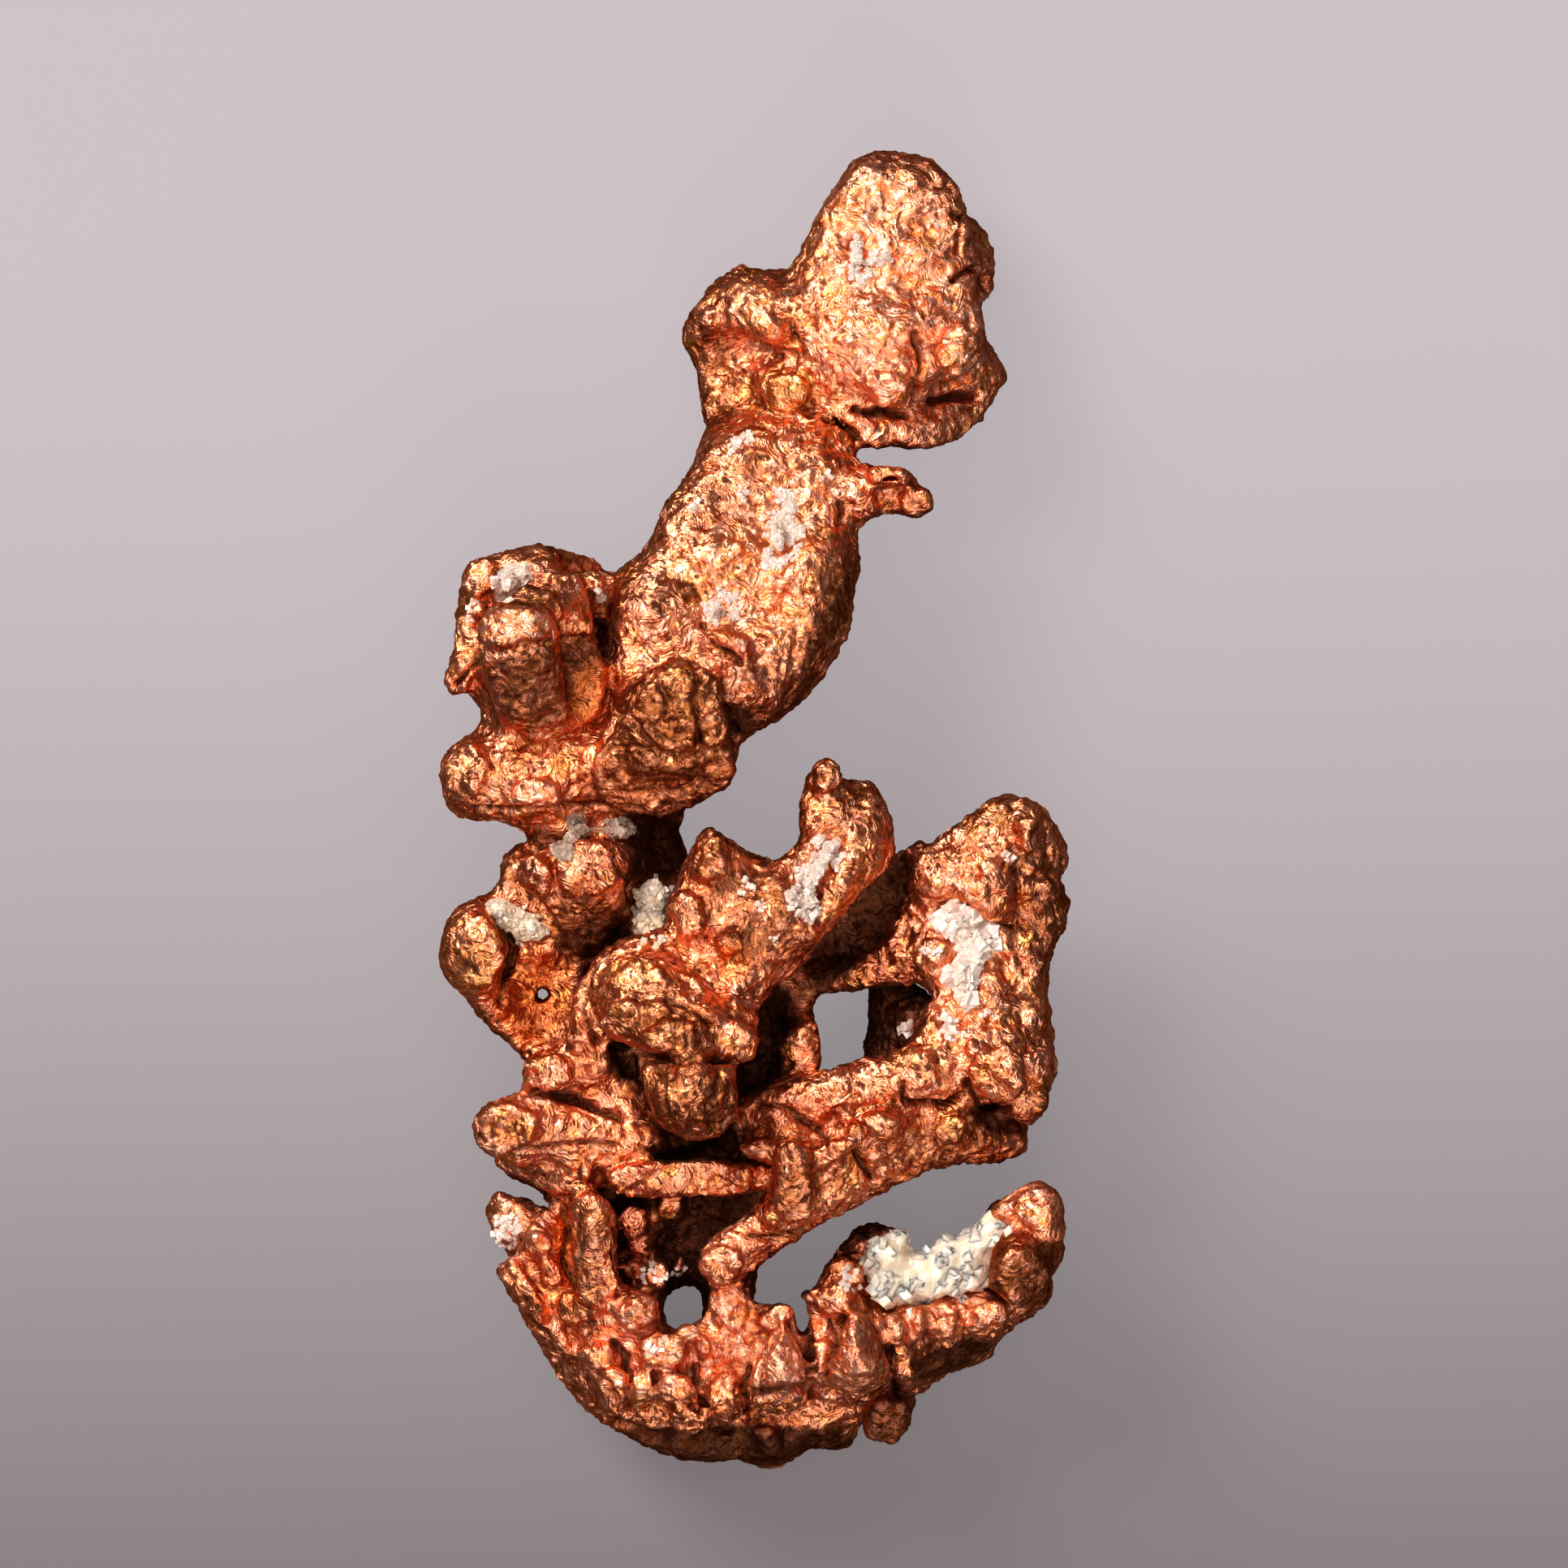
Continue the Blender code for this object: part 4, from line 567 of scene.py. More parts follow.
    (2.1, (2.2, -15.9, 7.3), (2.3, -15.3, 7.2), (2.9, -15.05, 7.3), (3.5, -15.2, 7.5), (3.75, -15.9, 7.8),
          (3.0, -16.0, 7.8)),
    (1.5, (-0.1, -17.5, 7.3), (0.2, -17.0, 7.5), (0.9, -16.6, 7.8), (1.3, -16.75, 7.6), (1.25, -17.15, 7.5),
          (0.5, -17.45, 7.4)),
    (1.5, (1.85, -17.9, 7.3), (2.5, -17.8, 7.3), (2.5, -19.3, 7.1), (2.0, -19.5, 7.0), (2.2, -18.5, 7.5)),
    (1.9, (-1.6, -19.2, 7.3), (-0.8, -19.0, 7.3), (-0.5, -19.7, 7.6), (-1.2, -19.9, 7.6), (-1.7, -20.1, 7.3),
          (-0.6, -20.5, 7.1), (-1.2, -20.8, 6.7)),
    (1.7, (-3.4, -19.4, 7.3), (-2.9, -19.05, 7.5), (-2.3, -19.2, 7.7), (-1.95, -19.95, 7.5),
          (-2.6, -20.05, 7.7), (-3.3, -19.95, 7.3)),
    (1.9, (-3.1, -20.5, 6.7), (-2.4, -20.2, 7.2), (-1.75, -20.4, 7.1), (-1.7, -20.9, 6.8), (-2.3, -21.1, 6.5),
          (-2.9, -20.9, 6.5)),
    (1.5, (-4.1, -19.9, 7.0), (-4.05, -19.1, 7.4), (-3.7, -19.0, 7.4), (-3.5, -19.4, 7.3),
          (-3.65, -20.0, 6.9)),
    (1.9, (-5.4, -19.6, 6.5), (-5.0, -19.0, 7.2), (-4.5, -19.1, 7.2), (-4.35, -19.9, 7.0), (-4.6, -20.5, 6.5),
          (-5.2, -20.3, 6.3)),
    (1.9, (-4.8, -17.0, 7.8), (-4.3, -16.4, 8.2), (-3.4, -16.45, 8.2), (-3.35, -17.1, 8.0),
          (-4.3, -17.6, 7.9), (-3.9, -16.9, 8.3)),
    (1.7, (-3.9, -18.0, 7.6), (-3.4, -17.6, 7.7), (-2.6, -17.8, 7.8), (-2.4, -18.5, 7.7), (-3.0, -18.95, 7.4),
          (-3.8, -18.8, 7.4)),
    (1.3, (-2.7, -17.6, 7.6), (-2.4, -17.35, 7.8), (-2.0, -17.5, 7.7), (-2.1, -17.85, 7.6),
          (-2.5, -17.9, 7.5)),
    (1.3, (-2.1, -18.1, 7.3), (-1.8, -17.8, 7.5), (-1.5, -18.0, 7.5), (-1.5, -18.4, 7.3), (-1.9, -18.5, 7.2)),
    (1.7, (-6.1, -18.4, 6.5), (-5.5, -18.0, 7.0), (-4.9, -18.2, 7.0), (-4.8, -18.8, 6.8), (-5.6, -19.0, 6.5)),
    (1.6, (-0.1, -21.0, 5.0), (0.6, -20.9, 5.2), (0.9, -21.8, 4.5), (0.1, -21.9, 4.4)),
    # arm: its left side
    (1.8, (-8.8, -15.5, 5.8), (-8.3, -15.1, 6.3), (-7.9, -15.6, 6.6), (-7.2, -16.7, 6.6), (-7.25, -17.6, 6.1),
          (-8.1, -16.9, 5.7)),
    (1.4, (-7.9, -14.6, 6.7), (-7.5, -14.2, 7.0), (-7.0, -14.4, 7.0), (-7.1, -15.0, 6.8), (-7.7, -15.1, 6.5)),
    (1.2, (-7.4, -15.4, 6.4), (-6.8, -15.2, 6.6), (-6.6, -16.0, 6.5), (-7.2, -16.2, 6.2)),
    (1.2, (-6.8, -16.5, 6.7), (-6.2, -16.3, 6.9), (-5.9, -16.9, 6.8), (-6.0, -17.5, 6.5), (-6.7, -17.3, 6.5)),
    (1.4, (-7.3, -17.2, 5.9), (-6.7, -17.6, 5.9), (-6.2, -18.5, 5.7), (-6.8, -18.4, 5.3)),
    (1.6, (-9.0, -13.9, 4.7), (-8.6, -13.2, 5.2), (-8.0, -13.3, 5.3), (-7.4, -13.9, 5.2), (-8.0, -14.3, 5.1),
          (-8.8, -14.5, 4.6)),
    (3.5, (-6.3, -13.2, 8.4), (-5.9, -12.85, 8.8), (-5.2, -13.0, 8.9), (-4.8, -13.5, 8.4), (-4.8, -14.8, 8.2),
          (-4.7, -16.0, 7.9), (-5.3, -16.9, 7.3), (-6.0, -16.6, 7.4), (-6.2, -15.0, 8.0), (-5.6, -14.2, 8.8)),
    # arm: knobs in the deep hollow beside it
    (2.0, (-4.75, -13.7, 6.2), (-4.3, -13.35, 6.4), (-3.75, -13.5, 6.4), (-3.7, -14.3, 6.2),
          (-4.4, -14.5, 6.0)),
    (2.5, (-3.4, -13.3, 6.6), (-3.0, -12.95, 6.8), (-2.5, -13.0, 6.8), (-2.6, -13.6, 6.6),
          (-3.2, -13.85, 6.5)),
    (2.0, (-4.6, -15.4, 6.0), (-4.1, -15.1, 6.3), (-3.8, -15.6, 6.3), (-4.2, -16.0, 6.0)),
    (2.0, (-3.8, -15.9, 6.4), (-3.3, -15.2, 6.8), (-3.0, -15.5, 6.8), (-3.2, -16.2, 6.4)),
    (1.5, (-2.85, -15.7, 5.7), (-2.6, -15.05, 6.0), (-2.45, -15.1, 6.0), (-2.6, -15.7, 5.7)),
    # arm: its right side, the dark knob and the end
    (1.4, (4.2, -17.2, 7.3), (4.6, -17.0, 7.5), (5.0, -17.3, 7.5), (4.9, -18.1, 7.2), (4.4, -18.0, 7.2)),
    (1.8, (4.85, -18.0, 7.0), (5.2, -17.9, 7.0), (5.35, -18.9, 6.6), (5.3, -19.6, 6.2), (5.0, -19.7, 6.2),
          (4.8, -18.8, 6.7)),
    (1.2, (5.4, -18.1, 5.8), (5.9, -18.0, 6.0), (5.85, -18.6, 5.6), (5.5, -18.6, 5.6)),
    (1.4, (5.35, -17.2, 6.9), (5.6, -16.8, 7.2), (5.95, -16.9, 7.2), (6.0, -17.7, 6.8), (5.5, -17.8, 6.7)),
    (1.8, (6.0, -17.5, 6.8), (6.2, -17.1, 7.1), (6.9, -17.1, 7.1), (6.95, -17.8, 6.7), (6.4, -18.2, 6.3)),
    (2.0, (7.2, -17.3, 7.0), (7.5, -16.75, 7.2), (8.1, -16.7, 7.3), (8.55, -17.1, 7.0), (8.15, -18.0, 6.4),
          (7.5, -17.9, 6.5)),
    (3.0, (8.1, -15.1, 8.9), (8.6, -14.65, 9.1), (9.6, -14.9, 9.2), (10.0, -15.6, 8.8), (9.6, -16.4, 8.4),
          (8.6, -16.6, 8.5), (7.85, -16.0, 8.6), (8.3, -15.6, 9.3), (9.3, -15.2, 9.3)),
    (2.5, (8.7, -13.3, 7.8), (9.3, -12.7, 7.7), (10.1, -12.8, 7.7), (10.4, -13.4, 7.7), (10.4, -14.5, 7.5),
          (9.9, -14.6, 8.0), (9.2, -13.9, 8.2), (9.9, -13.4, 8.2)),
    (1.4, (7.9, -13.6, 6.9), (8.3, -13.2, 7.3), (8.8, -13.4, 7.3), (8.6, -13.9, 7.1)),
    # ring: the bit between the upright bar and the long bar
    (2.4, (-5.7, -12.5, 6.5), (-5.2, -12.2, 6.8), (-4.6, -12.5, 6.7), (-4.8, -13.1, 6.3), (-5.5, -13.1, 6.3)),
    # neck: the bit that closes the gap left of the small knob
    (3.0, (-7.5, -0.7, 7.7), (-6.9, -0.5, 8.1), (-6.2, -0.5, 8.1), (-6.1, -1.3, 7.9), (-6.9, -1.5, 7.8),
          (-7.5, -1.1, 7.5)),
)

# Hollows cut into the copper. Each: top level, bottom level, then its outline as x, y (mm)
HOLLOWS = (
    (12.0, 7.0, (-4.8, -8.2), (-4.0, -8.1), (-3.95, -9.1), (-4.7, -9.0)),
    (10.5, 5.8, (-3.6, -11.55), (-1.0, -11.15), (-0.9, -11.75), (-3.2, -11.8)),
    (11.0, 7.6, (-1.05, 3.3), (-0.6, 3.1), (-0.5, 2.5), (-0.95, 2.3)),
    (12.0, 5.0, (4.0, 1.5), (4.9, 1.5), (4.9, -0.3), (4.62, -0.3), (4.3, 0.35), (3.95, 0.9)),
    (12.0, -1.0, (10.2, -2.1), (10.9, -2.1), (10.9, -2.45), (10.2, -2.4)),
    (12.0, -1.0, (3.6, -20.7), (3.0, -22.3), (3.74, -22.3), (3.78, -21.2)),
    (9.5, 2.5, (-9.1, -12.35), (-8.6, -12.35), (-7.7, -12.65), (-6.95, -13.25), (-6.85, -13.7), (-7.3, -13.4),
               (-8.1, -13.1), (-9.1, -12.95)),
    (8.5, 6.4, (4.15, 11.45), (4.9, 11.5), (4.9, 11.25), (4.2, 11.25)),
    (9.0, -1.0, (1.3, -16.5), (1.5, -16.5), (1.85, -16.95), (1.65, -17.75), (1.5, -17.85), (1.3, -17.1)),
    (9.0, -1.0, (-7.5, -5.95), (-7.1, -5.95), (-7.0, -6.2), (-7.3, -6.5), (-7.55, -6.35)),
)


def hull(name, corners):
    """A closed solid around some corners."""
    work = bmesh.new()
    for x, y, z in corners:
        work.verts.new((x + MIDDLE[0], y + MIDDLE[1], z))
    made = bmesh.ops.convex_hull(work, input=work.verts)
    spare = [item for item in made["geom_interior"] if isinstance(item, bmesh.types.BMVert)]
    bmesh.ops.delete(work, geom=spare, context="VERTS")
    return from_work(name, work)


# How wide the foot of a form is beside its top
FOOT_SHARE = 0.85


def grown_form(root, *corners):
    """One crystal or knob: its upper corners, and a slightly narrower foot inside the copper."""
    middle_x = sum(corner[0] for corner in corners) / len(corners)
    middle_y = sum(corner[1] for corner in corners) / len(corners)
    points = []
    for x, y, z in corners:
        foot_x = middle_x + (x - middle_x) * FOOT_SHARE
        foot_y = middle_y + (y - middle_y) * FOOT_SHARE
        points += [(x, y, z), (foot_x, foot_y, z - root)]
    return hull("form", points)


def merged(things, name):
    """One object from several, which are removed."""
    work = bmesh.new()
    for thing in things:
        work.from_mesh(thing.data)
        removed(thing)
    return from_work(name, work)


def without(body, cutter):
    """Takes one solid out of another."""
    modifier = body.modifiers.new("cut", "BOOLEAN")
    modifier.operation = "DIFFERENCE"
    modifier.solver = "EXACT"
    modifier.object = cutter
    applied(body)
    removed(cutter)


def copper_body():
    """The whole copper as one even mesh: six branches closed at their forks, with their crystals."""
    body, _ = joined_nodes(BRANCHES)
    remeshed(body, BASE_VOXEL)
    set_points(body, points_of(body) + normals_of(body) * FORK_CLOSING)
    remeshed(body, BASE_VOXEL)
    set_points(body, averaged(points_of(body) - normals_of(body) * FORK_CLOSING, edges_of(body), 4))
    body = merged([body] + [grown_form(*row) for row in FORMS], "body")
    remeshed(body, BASE_VOXEL)
    for top, bottom, *outline in HOLLOWS:
        without(body, hull("hollow", [(x, y, z) for z in (top, bottom) for x, y in outline]))
    remeshed(body, COPPER_VOXEL)
    return body


# Relief of the skin. Sizes, heights and depths are in mm
# Swells: height, size and seed
SWELLS = (0.12, 2.4, 11)
# Layers of crystals: size, length in sizes, height, how much higher in the crystal zones, the share of it
# that the calmest place keeps, and seed
CRYSTAL_LAYERS = (
    (1.05, 1.5, 0.1, 0.2, 0.0, 21),
    (0.56, 1.6, 0.12, 0.14, 0.0, 31),
    (0.33, 1.4, 0.15, 0.0, 0.3, 36),
)
# Folds: size, height, how much higher in the crumpled zones, the share of it that the calmest place
# keeps, and how far they are bent
FOLD_SIZE = 0.9
FOLD_HEIGHT = 0.07
FOLD_CRUMPLED = 0.04
FOLD_KEPT = 0.4
FOLD_BEND = 0.35
FINE_FOLD_SIZE = 0.3
FINE_FOLD_HEIGHT = 0.03
# Pits: distance apart, radius, depth, and the share of places that have one
PIT_SPACING = 0.9
PIT_RADIUS = 0.26
PIT_DEPTH = 0.16
PIT_SHARE = 0.22
# The depth at which a crease's painted shade is as dark as it gets
DARK_CREASE = 0.3
# How far the smooth zones, the crumpled zones and the stripes calm the relief, from 0 to 1
SMOOTH_CALM = 0.75
CRUMPLED_CALM = 0.4
STRIPED_CALM = 0.6


def relief(points, normals):
    """How far the skin stands out from the plain body at each point, in mm, and where it is creased."""
    crystalline = zones(points, CRYSTAL_ZONES)
    crumpled = zones(points, CRUMPLED_ZONES)
    calm = 1 - SMOOTH_CALM * zones(points, SMOOTH_ZONES)
    calm *= 1 - CRUMPLED_CALM * crumpled
    height = blotches(points, *SWELLS)
    for size, length, least, more, kept, seed in CRYSTAL_LAYERS:
        strength = (least + more * crystalline) * (kept + (1 - kept) * calm)
        height += strength * crystals(points, size, seed, length)
    bent = points + FOLD_BEND * wander(points, FOLD_SIZE, 45)
    strength = (FOLD_HEIGHT + FOLD_CRUMPLED * crumpled) * (FOLD_KEPT + (1 - FOLD_KEPT) * calm)
    height += strength * layered(bent, FOLD_SIZE, 41, pattern=folded)
    height += FINE_FOLD_HEIGHT * layered(bent, FINE_FOLD_SIZE, 51, 2, folded)
    height -= PIT_DEPTH * pits(points, PIT_SPACING, PIT_RADIUS, PIT_SHARE, 61) * calm
    upward = facing_up(normals, 0.6, 0.25)
    half_bent = points + 0.5 * (bent - points)
    creased = np.zeros(len(points))
    for width, depth, low, *path in CREASES:
        line = stroke(half_bent, path, width, low) * upward
        height -= depth * line
        creased = np.maximum(creased, line * min(1.0, depth / DARK_CREASE))
    striped = zone(points, *STRIPED_FACE) * upward
    stripes = STRIPE_DEPTH * striped * np.sin(points[:, 1] * 2 * math.pi / STRIPE_SPACING)
    return height * (1 - STRIPED_CALM * striped) + stripes, creased


# Rounds of averaging that give the level from which a vertex stands out finely and broadly
FINE_ROUNDS = 8
BROAD_ROUNDS = 60
BROAD_PULL = 0.9


def dressed(body):
    """Presses the relief into the copper. Returns how far each vertex stands out, and where it is creased."""
    edges = edges_of(body)
    plain = averaged(points_of(body), edges, 2)
    set_points(body, plain)
    normals = averaged(normals_of(body), edges, 3)
    normals /= np.maximum(np.linalg.norm(normals, axis=1), 1e-9)[:, None]
    height, creased = relief(plain, normals)
    points = plain + normals * height[:, None]
    points[:, 2] = np.maximum(points[:, 2], FLOOR_Z)
    set_points(body, points)
    outward = normals_of(body)
    fine = np.einsum("ij,ij->i", points - averaged(points, edges, FINE_ROUNDS), outward)
    broad = np.einsum("ij,ij->i", points - averaged(points, edges, BROAD_ROUNDS, BROAD_PULL), outward)
    return fine, broad, creased


# Rays sent to the sky from a place: how many, how far they look and how far out they start (mm), and how
# squarely they have to leave the surface, as a cosine
SKY_RAYS = 44
SKY_REACH = 6.0
SKY_START = 0.12
SKY_LEAST = 0.15


def sky_rays():
    """Unit vectors spread evenly over the upper half of a sphere."""
    step = np.arange(SKY_RAYS)
    height = 1 - (2 * step + 1) / SKY_RAYS
    angle = step * math.pi * (3 - math.sqrt(5))
    level = np.sqrt(1 - height * height)
    return np.stack([level * np.cos(angle), level * np.sin(angle), height], axis=1)


def sky_seen(body):
    """How open each vertex lies, from 0 deep in a gap to 1 on a free face."""
    coarse = placed("coarse", body.data.copy())
    remeshed(coarse, SKY_VOXEL)
    tree = tree_of(coarse)
    places = points_of(coarse)
    outward = normals_of(coarse)
    rays = sky_rays()
    facing = outward @ rays.T
    seen = np.zeros(len(places))
    vectors = [Vector(ray) for ray in rays]
    starts = places + outward * SKY_START
    for number, start in enumerate(starts):
        origin = Vector(start)
        total = 0.0
        free = 0.0
        for ray in np.nonzero(facing[number] > SKY_LEAST)[0]:
            weight = facing[number, ray]
            total += weight
            if tree.ray_cast(origin, vectors[ray], SKY_REACH)[0] is None:
                free += weight
        seen[number] = free / max(total, 1e-6)
    seen = averaged(seen, edges_of(coarse), 2)
    nearest = KDTree(len(places))
    for number, place in enumerate(places):
        nearest.insert(place, number)
    nearest.balance()
    removed(coarse)
    fine = np.array([seen[nearest.find(point)[1]] for point in points_of(body)])
    return averaged(fine, edges_of(body), 4)


def write_attribute(thing, name, values):
    """Stores one number per vertex for the materials to read."""
    attribute = thing.data.attributes.new(name, "FLOAT", "POINT")
    attribute.data.foreach_set("value", np.ascontiguousarray(values, dtype=np.float32))


# Colours of the copper, with rows like those of the zones above. Tarnish zones: brown tarnish, partly painted
# shade on faces that the lamps leave dark
TARNISH_AND_SHADE_ZONES = (
    (1.0, -3.0, 2.6, 4.6, 5.4, 0, 9.0),
    (0.9, -3.2, 0.8, 5.0, 2.4, 0, 6.0),
    (0.9, -7.4, 7.3, 2.2, 1.2, -10, 8.0),
    (0.8, -7.4, 3.7, 2.8, 2.6, 0, 8.6),
    (0.9, -6.1, 5.5, 2.0, 1.1, 0, 6.0),
    (0.7, -7.4, 1.9, 2.4, 1.1, 0, 6.0),
    (0.8, -1.8, -1.3, 1.2, 2.0, -20, 6.0),
    (0.9, 2.1, 1.4, 1.2, 1.0, 0, 6.0),
    (1.0, -3.2, -7.2, 3.8, 1.6, -8, 8.0),
    (1.0, -2.3, -9.8, 3.8, 3.6, 0, 5.0),
    (0.9, -1.5, 14.6, 2.0, 3.6),
    (1.0, 9.0, -15.5, 2.6, 2.6, 0, 3.0),
    (0.9, -5.7, -3.9, 2.8, 2.2),
    (0.8, 10.0, -3.4, 1.6, 5.4),
    (0.7, 6.4, -11.3, 4.4, 1.4, 12),
    (0.6, -5.5, -14.9, 1.4, 3.6, 0, 5.0),
    (0.7, 1.3, -12.6, 1.6, 2.6, 0, 5.0),
    (0.8, -0.2, -3.3, 3.4, 3.0, -20),
    (0.8, 2.2, 6.0, 1.0, 6.6, -25),
    (0.7, -6.2, 4.9, 1.5, 2.4, 0, 6.0),
)
# Orange: partly the copper's own orange, partly a painted glow of light bounced between close copper faces in
# recesses
ORANGE_GLOW_ZONES = (
    (1.0, -5.6, 4.0, 1.2, 2.4, -20),
    (1.0, -7.5, -6.2, 2.8, 3.4),
    (1.0, -6.5, -14.6, 0.9, 2.0),
    (0.9, -0.7, -5.2, 1.2, 1.3, 0, 5.0),
    (0.8, 5.6, 15.0, 0.5, 1.4),
    (0.5, 2.2, 12.6, 1.2, 1.0),
    (0.5, 0.6, -10.9, 2.0, 1.2),
    (0.6, -1.2, -19.9, 1.4, 1.8),
    (0.5, -6.6, -16.8, 1.6, 1.2, -30),
)
GOLD_ZONES = (
    (0.4, 3.6, 18.4, 5.0, 5.0),
    (0.8, 3.5, 20.8, 1.6, 1.4),
    (0.8, 6.8, 15.6, 1.6, 1.4),
    (0.7, 0.6, 14.2, 3.0, 1.4),
    (0.6, 2.0, 8.0, 2.6, 4.0),
    (0.8, -4.4, -6.0, 2.6, 2.0),
    (1.0, -8.0, -10.5, 1.8, 1.3),
    (0.6, -9.6, -5.4, 1.8, 1.6),
    (0.5, -0.6, 7.8, 4.0, 4.0),
    (1.0, 6.7, -10.6, 1.2, 1.1),
    (0.7, -3.9, -19.5, 0.8, 1.2),
)
# Painted shade: places painted dark, so that they stay dark whatever the light
SHADE_ZONES = (
    (0.8, 0.6, -7.4, 1.6, 2.6, -15, -1.0, 7.4),
    (0.9, -0.1, -9.1, 1.0, 1.4, 0, -1.0, 8.0),
    (0.9, -2.3, -11.45, 2.8, 1.0, 8, -1.0, 8.4),
    (1.0, -7.8, -12.9, 2.2, 0.8, -28, -1.0, 7.4),
    (0.9, -1.6, -14.2, 3.6, 3.0, 20, -1.0, 5.6),
    (0.6, -5.6, -4.2, 2.4, 1.6, 0, -1.0, 9.0),
    (0.5, -7.6, 4.2, 3.0, 2.4, 0, 8.4, 12.0),
    (1.0, 3.5, -3.8, 1.9, 5.6, -38, -1.0, 7.2),
    (1.0, 4.5, -7.2, 2.6, 2.6, 0, -1.0, 6.6),
    (1.0, -3.4, -1.3, 2.2, 2.4, 0, -1.0, 8.4),
    (0.8, -8.6, -1.7, 1.2, 1.8, 0, -1.0, 7.0),
    (0.9, -0.5, 3.0, 1.2, 1.0, 0, -1.0, 9.6),
    (1.0, 8.2, -10.55, 2.4, 0.8, -22, -1.0, 8.2),
    (1.0, 4.0, -14.0, 1.6, 1.0, 40, -1.0, 8.0),
    (1.6, -1.0, -21.7, 9.0, 1.5, 0, -1.0, 5.0),
    (0.8, -7.0, -0.95, 1.5, 0.7, 0, -1.0, 9.0),
    (0.8, 4.7, -20.7, 2.2, 2.0, 0, -1.0, 5.4),
    (1.0, 6.6, -18.7, 3.6, 1.1, 22, -1.0, 6.2),
    (0.8, 0.3, -19.66, 1.5, 0.4, 14, -1.0, 7.7),
    (0.7, 3.9, -17.9, 0.7, 1.8, 22, -1.0, 9.0),
    (0.4, 9.2, -15.6, 1.7, 1.7, 0, 3.0, 12.0),
    (0.35, 2.3, 5.8, 0.9, 6.0, -25, -1.0, 9.0),
    (0.6, -5.7, 5.3, 1.5, 1.2, 0, -1.0, 9.6),
    (0.3, -5.7, 4.0, 1.2, 2.2, -20, -1.0, 9.6),
    (0.2, -2.3, -10.0, 3.6, 3.0, 0, 5.0, 12.0),
    (0.2, 1.0, -3.6, 5.0, 3.4, -20, 8.0, 15.0),
)
# The palest, freshest faces, partly painted light: faces that the lamps light most are painted paler
PALE_AND_LIT_ZONES = (
    (1.0, 4.6, 17.4, 6.0, 9.0, 20),
    (0.6, -0.2, 16.6, 2.4, 2.6),
    (0.8, 0.6, 8.6, 5.0, 7.0, -15),
    (0.9, -0.6, 4.45, 1.5, 1.4, 0, 7.0),
    (0.9, -7.4, 0.7, 2.2, 1.2, 0, 7.0),
    (1.0, -8.1, 6.4, 2.8, 1.4, 0, 11.0),
    (0.6, 7.0, -5.0, 3.0, 6.0),
    (0.55, -7.0, -10.2, 4.4, 2.6),
    (0.9, -0.6, -18.2, 11.0, 4.2),
    (0.9, 9.2, -13.4, 2.2, 1.8),
    (0.8, 1.4, -18.6, 6.5, 3.0),
    (0.8, -8.0, -14.5, 2.4, 3.0),
    (0.8, -1.2, -15.0, 2.0, 2.0),
    (1.0, 6.2, -17.3, 5.6, 1.5, 10),
)


# How much sky a place sees where painted shade starts to darken it, and over how much less it turns dark
SHADE_START = 0.5
SHADE_SPAN = 0.34
# How far a vertex stands out where an edge is full, or lies back where a hollow is full, mm
FULL_EDGE = 0.05
FULL_HOLLOW = 0.5
# How quickly a tilted face stops being a flank
FLANK_SLOPE = 1.6
# Shares of tarnish and painted shade: what a zone keeps on the back, what hollows add as tarnish and painted
# shade, and the painted shade that flanks and undersides add
TARNISH_AND_SHADE_BACK = 0.4
HOLLOW_TARNISH_AND_SHADE = 0.35
PAINTED_FLANK_SHADE = 0.2
PAINTED_UNDERSIDE_SHADE = 0.25
# What creases and hollows add to the shade
SHADE_CREASED = 0.75
SHADE_HOLLOW = 0.4
# How strongly the zones and the patches colour the copper, and how much of it both lose everywhere
ZONE_STRENGTH = 0.9
ORANGE_ZONE = 0.8
ORANGE_PATCHY = 0.3
COLOUR_LOSS = 0.1
# Blotches in the colours: strength, size (mm), seed
PATCHES = (0.35, 1.6, 71)
GOLD_BLOTCHES = (0.5, 2.8, 81)
PALE_BLOTCHES = (0.4, 2.2, 91)


